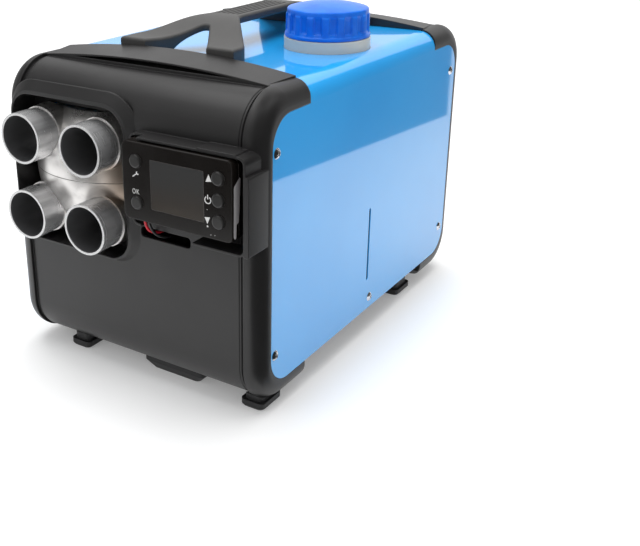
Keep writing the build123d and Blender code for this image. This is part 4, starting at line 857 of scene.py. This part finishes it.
# everything else keeps its node and gets its finish
otherFinishes = {
    "foot rubber": {
        "colour": (0.016, 0.016, 0.017), "roughness": 0.50,
        "grain": 700.0, "depth": 0.00010, "edge": 0.0012, "lift": 2.4,
        "nodes": ["front_left_foot", "front_right_foot", "rear_left_foot", "rear_right_foot", "front_skid"],
    },
    "seal rubber": {
        "colour": (0.02, 0.02, 0.02), "roughness": 0.6,
        "nodes": ["cap_seal", "pump_mount"],
    },
    "brass": {
        "colour": (0.62, 0.44, 0.16), "roughness": 0.3, "metal": True,
        "nodes": ["tank_fitting"],
    },
    "tray steel": {
        "colour": (0.030, 0.030, 0.032), "roughness": 0.42,
        "grain": 500.0, "depth": 0.00005, "edge": 0.0006, "lift": 1.8,
        "nodes": ["base_plate", "heater_bracket"],
    },
    "casing plastic": {
        "colour": (0.035, 0.035, 0.038), "roughness": 0.5,
        "nodes": ["heater_casing_upper", "heater_casing_lower", "motor_bracket"],
    },
    "exchanger casting": {
        "colour": (0.60, 0.59, 0.57), "roughness": 0.38, "metal": True,
        "nodes": ["heat_exchanger"],
    },
    "burner steel": {
        "colour": (0.45, 0.42, 0.38), "roughness": 0.42, "metal": True,
        "nodes": ["combustion_chamber", "burner_head", "glow_plug"],
    },
    "stub steel": {
        "colour": (0.60, 0.60, 0.61), "roughness": 0.28, "metal": True,
        "nodes": ["exhaust_pipe", "intake_pipe"],
    },
    "motor steel": {
        "colour": (0.52, 0.53, 0.55), "roughness": 0.3, "metal": True,
        "nodes": ["motor_body", "motor_shaft", "pump_body", "pump_plunger", "pump_spring"],
    },
    "fan plastic": {
        "colour": (0.10, 0.10, 0.11), "roughness": 0.5,
        "nodes": ["hot_air_fan", "combustion_impeller"],
    },
    "sensor plastic": {
        "colour": (0.55, 0.52, 0.42), "roughness": 0.5,
        "nodes": ["overheat_sensor"],
    },
    "filter plastic": {
        "colour": (0.70, 0.71, 0.62), "roughness": 0.2, "Transmission_Weight": 0.4,
        "nodes": ["fuel_filter"],
    },
    "hose rubber": {
        "colour": (0.06, 0.20, 0.08), "roughness": 0.45,
        "nodes": ["supply_hose", "filter_hose", "heater_hose"],
    },
    "gland rubber": {
        "colour": (0.02, 0.02, 0.02), "roughness": 0.6,
        "nodes": ["cable_gland"],
    },
}


def dressOthers(finishes):
    for name, finish in finishes.items():
        look = dict(finish)
        names = look.pop("nodes")
        make = plainMetal if look.pop("metal", False) else plainFinish
        dress(make(name, **look), *names)


dressOthers(otherFinishes)
print("finishes done")


# floor, light and what the glossy surfaces reflect
studio = {
    "floorColour": (0.84, 0.845, 0.85),
    "floorSeen": 0.20,     # added where the camera sees the floor
    "floorFar": 0.56,      # the same away from the object, so the background stays white
    "near": 0.6,
    "far": 2.2,
    "reach": 6.0,          # of the floor
    "low": -0.0003,
    "ambient": 0.52,
}
lamps = {
    "topLight": {"place": (-0.1, 0.1, 1.7), "aim": (0, 0, 0.15), "size": (1.5, 1.5), "power": 34.0},
    "sideLight": {"place": (1.6, -0.5, 0.9), "aim": (0, 0, 0.12), "size": (1.0, 1.4), "power": 2.5},
    "frontLight": {"place": (-0.6, -1.4, 1.3), "aim": (0, 0, 0.15), "size": (1.0, 1.0), "power": 3.0},
}


def floorFinish(settings):
    pale = Finish("pale floor", Roughness=0.7, Emission_Strength=1.0)
    camera = pale.node("ShaderNodeLightPath", out="Is Camera Ray")
    seen = (camera + camera.other("Is Glossy Ray") + camera.other("Is Transmission Ray")).clamped()
    cloud = pale.noise(3.0, 3.0, 0.5)
    own = pale.mix(settings["floorColour"], lifted(settings["floorColour"], 0.985), cloud)
    place = {0: pale.place()}
    distance = pale.node("ShaderNodeVectorMath", {"operation": "LENGTH"}, place, out="Value")
    away = distance.between(settings["near"], settings["far"])
    glow = pale.mix((settings["floorSeen"],) * 3, (settings["floorFar"],) * 3, away)
    return pale.paint(Base_Color=own, Emission_Color=pale.mix((0, 0, 0), glow, seen))


def staged(name, corners, material):
    mesh = bpy.data.meshes.new(name)
    mesh.from_pydata(corners, [], [tuple(range(len(corners)))])
    mesh.materials.append(material)
    piece = bpy.data.objects.new(name, mesh)
    bpy.context.scene.collection.objects.link(piece)
    return piece


def makeFloor(settings):
    reach, low = settings["reach"], settings["low"]
    corners = [(-reach, -reach, low), (reach, -reach, low), (reach, reach, low), (-reach, reach, low)]
    staged("floor", corners, floorFinish(settings).material)


# cards that only reflections show: x and y of the foot from one end to the other, low and high
# edge, how far the top leans out, grey level
cards = {
    "cardRight": {"foot": [(0.418, 0.30), (0.352, 0.76)], "low": 0.0, "high": 1.3, "grey": 0.05},
    "cardBack": {"foot": [(0.10, 1.50), (-2.20, 0.60)], "low": 0.0, "high": 1.0, "grey": 0.90},
    "cardFront": {"foot": [(0.30, -1.20), (-1.60, -0.90)], "low": 0.0, "high": 0.9, "grey": 0.45},
    "cardLeft": {"foot": [(-1.20, -0.90), (-1.20, 1.00)], "low": 0.0, "high": 0.8, "grey": 0.45},
    "cardHighLeft": {"foot": [(-1.25, -1.20), (-1.25, 0.20)], "low": 0.80, "high": 1.7, "grey": 0.06},
    "cardUnit": {"foot": [(-0.28, -0.50), (0.02, -0.56)], "low": 0.0, "high": 0.14, "grey": 0.06},
    "cardCorner": {
        "foot": [(0.14, -0.16), (0.14, -0.75)], "lean": (0.45, 0.05),
        "low": 0.001, "high": 0.25, "grey": 0.02,
    },
    "cardRoll": {"foot": [(0.162, -0.215), (0.152, -0.127)], "low": 0.0, "high": 0.26, "grey": 0.03},
    "cardSide": {"foot": [(0.30, -1.20), (1.10, -0.30)], "low": 0.0, "high": 1.6, "grey": 0.06},
    "cardFar": {"foot": [(1.10, -0.30), (1.10, 0.90)], "low": 0.0, "high": 1.2, "grey": 0.10},
    "cardOver": {
        "foot": [(-0.20, -0.60), (-0.20, 0.45)], "lean": (1.0, 0.0),
        "low": 1.9, "high": 1.9, "grey": 0.05,
    },
    "cardBright": {
        "foot": [(-1.10, -0.90), (-1.10, 0.30)], "lean": (0.75, 0.0),
        "low": 1.75, "high": 1.75, "grey": 2.6,
    },
}


def makeCards(cards):
    for name, card in cards.items():
        grey = Finish(name, Roughness=1.0, Base_Color=(0.0, 0.0, 0.0), Emission_Strength=1.0)
        grey.paint(Emission_Color=(card["grey"],) * 3, Specular_IOR_Level=0.0)
        (x0, y0), (x1, y1) = card["foot"]
        dx, dy = card.get("lean", (0.0, 0.0))
        low, high = card["low"], card["high"]
        corners = [(x0, y0, low), (x1, y1, low), (x1 + dx, y1 + dy, high), (x0 + dx, y0 + dy, high)]
        piece = staged(name, corners, grey.material)
        piece.visible_camera = False
        piece.visible_diffuse = False
        piece.visible_transmission = False
        piece.visible_volume_scatter = False
        piece.visible_shadow = False


def makeWorld(settings):
    world = bpy.data.worlds.new("studio")
    bpy.context.scene.world = world
    world.use_nodes = True
    air = Graph(world.node_tree)
    seen = air.node("ShaderNodeLightPath", out="Is Camera Ray")
    plainWhite = (seen + seen.other("Is Glossy Ray") + seen.other("Is Transmission Ray")).clamped()
    strength = plainWhite * (1 - settings["ambient"]) + settings["ambient"]
    glow = air.node("ShaderNodeBackground", values={"Color": (1, 1, 1, 1), "Strength": strength})
    air.node("ShaderNodeOutputWorld", values={"Surface": glow})


def makeLamps(lamps):
    for name, settings in lamps.items():
        data = bpy.data.lights.new(name, "AREA")
        data.shape = "RECTANGLE"
        data.size, data.size_y = settings["size"]
        data.energy = settings["power"]
        lamp = bpy.data.objects.new(name, data)
        lamp.location = settings["place"]
        lamp.visible_glossy = False
        towards = Vector(settings["aim"]) - Vector(settings["place"])
        lamp.rotation_euler = towards.to_track_quat("-Z", "Y").to_euler()
        bpy.context.scene.collection.objects.link(lamp)


makeFloor(studio)
makeCards(cards)
makeWorld(studio)
makeLamps(lamps)
bpy.context.scene.view_settings.view_transform = "Standard"
print("studio done")
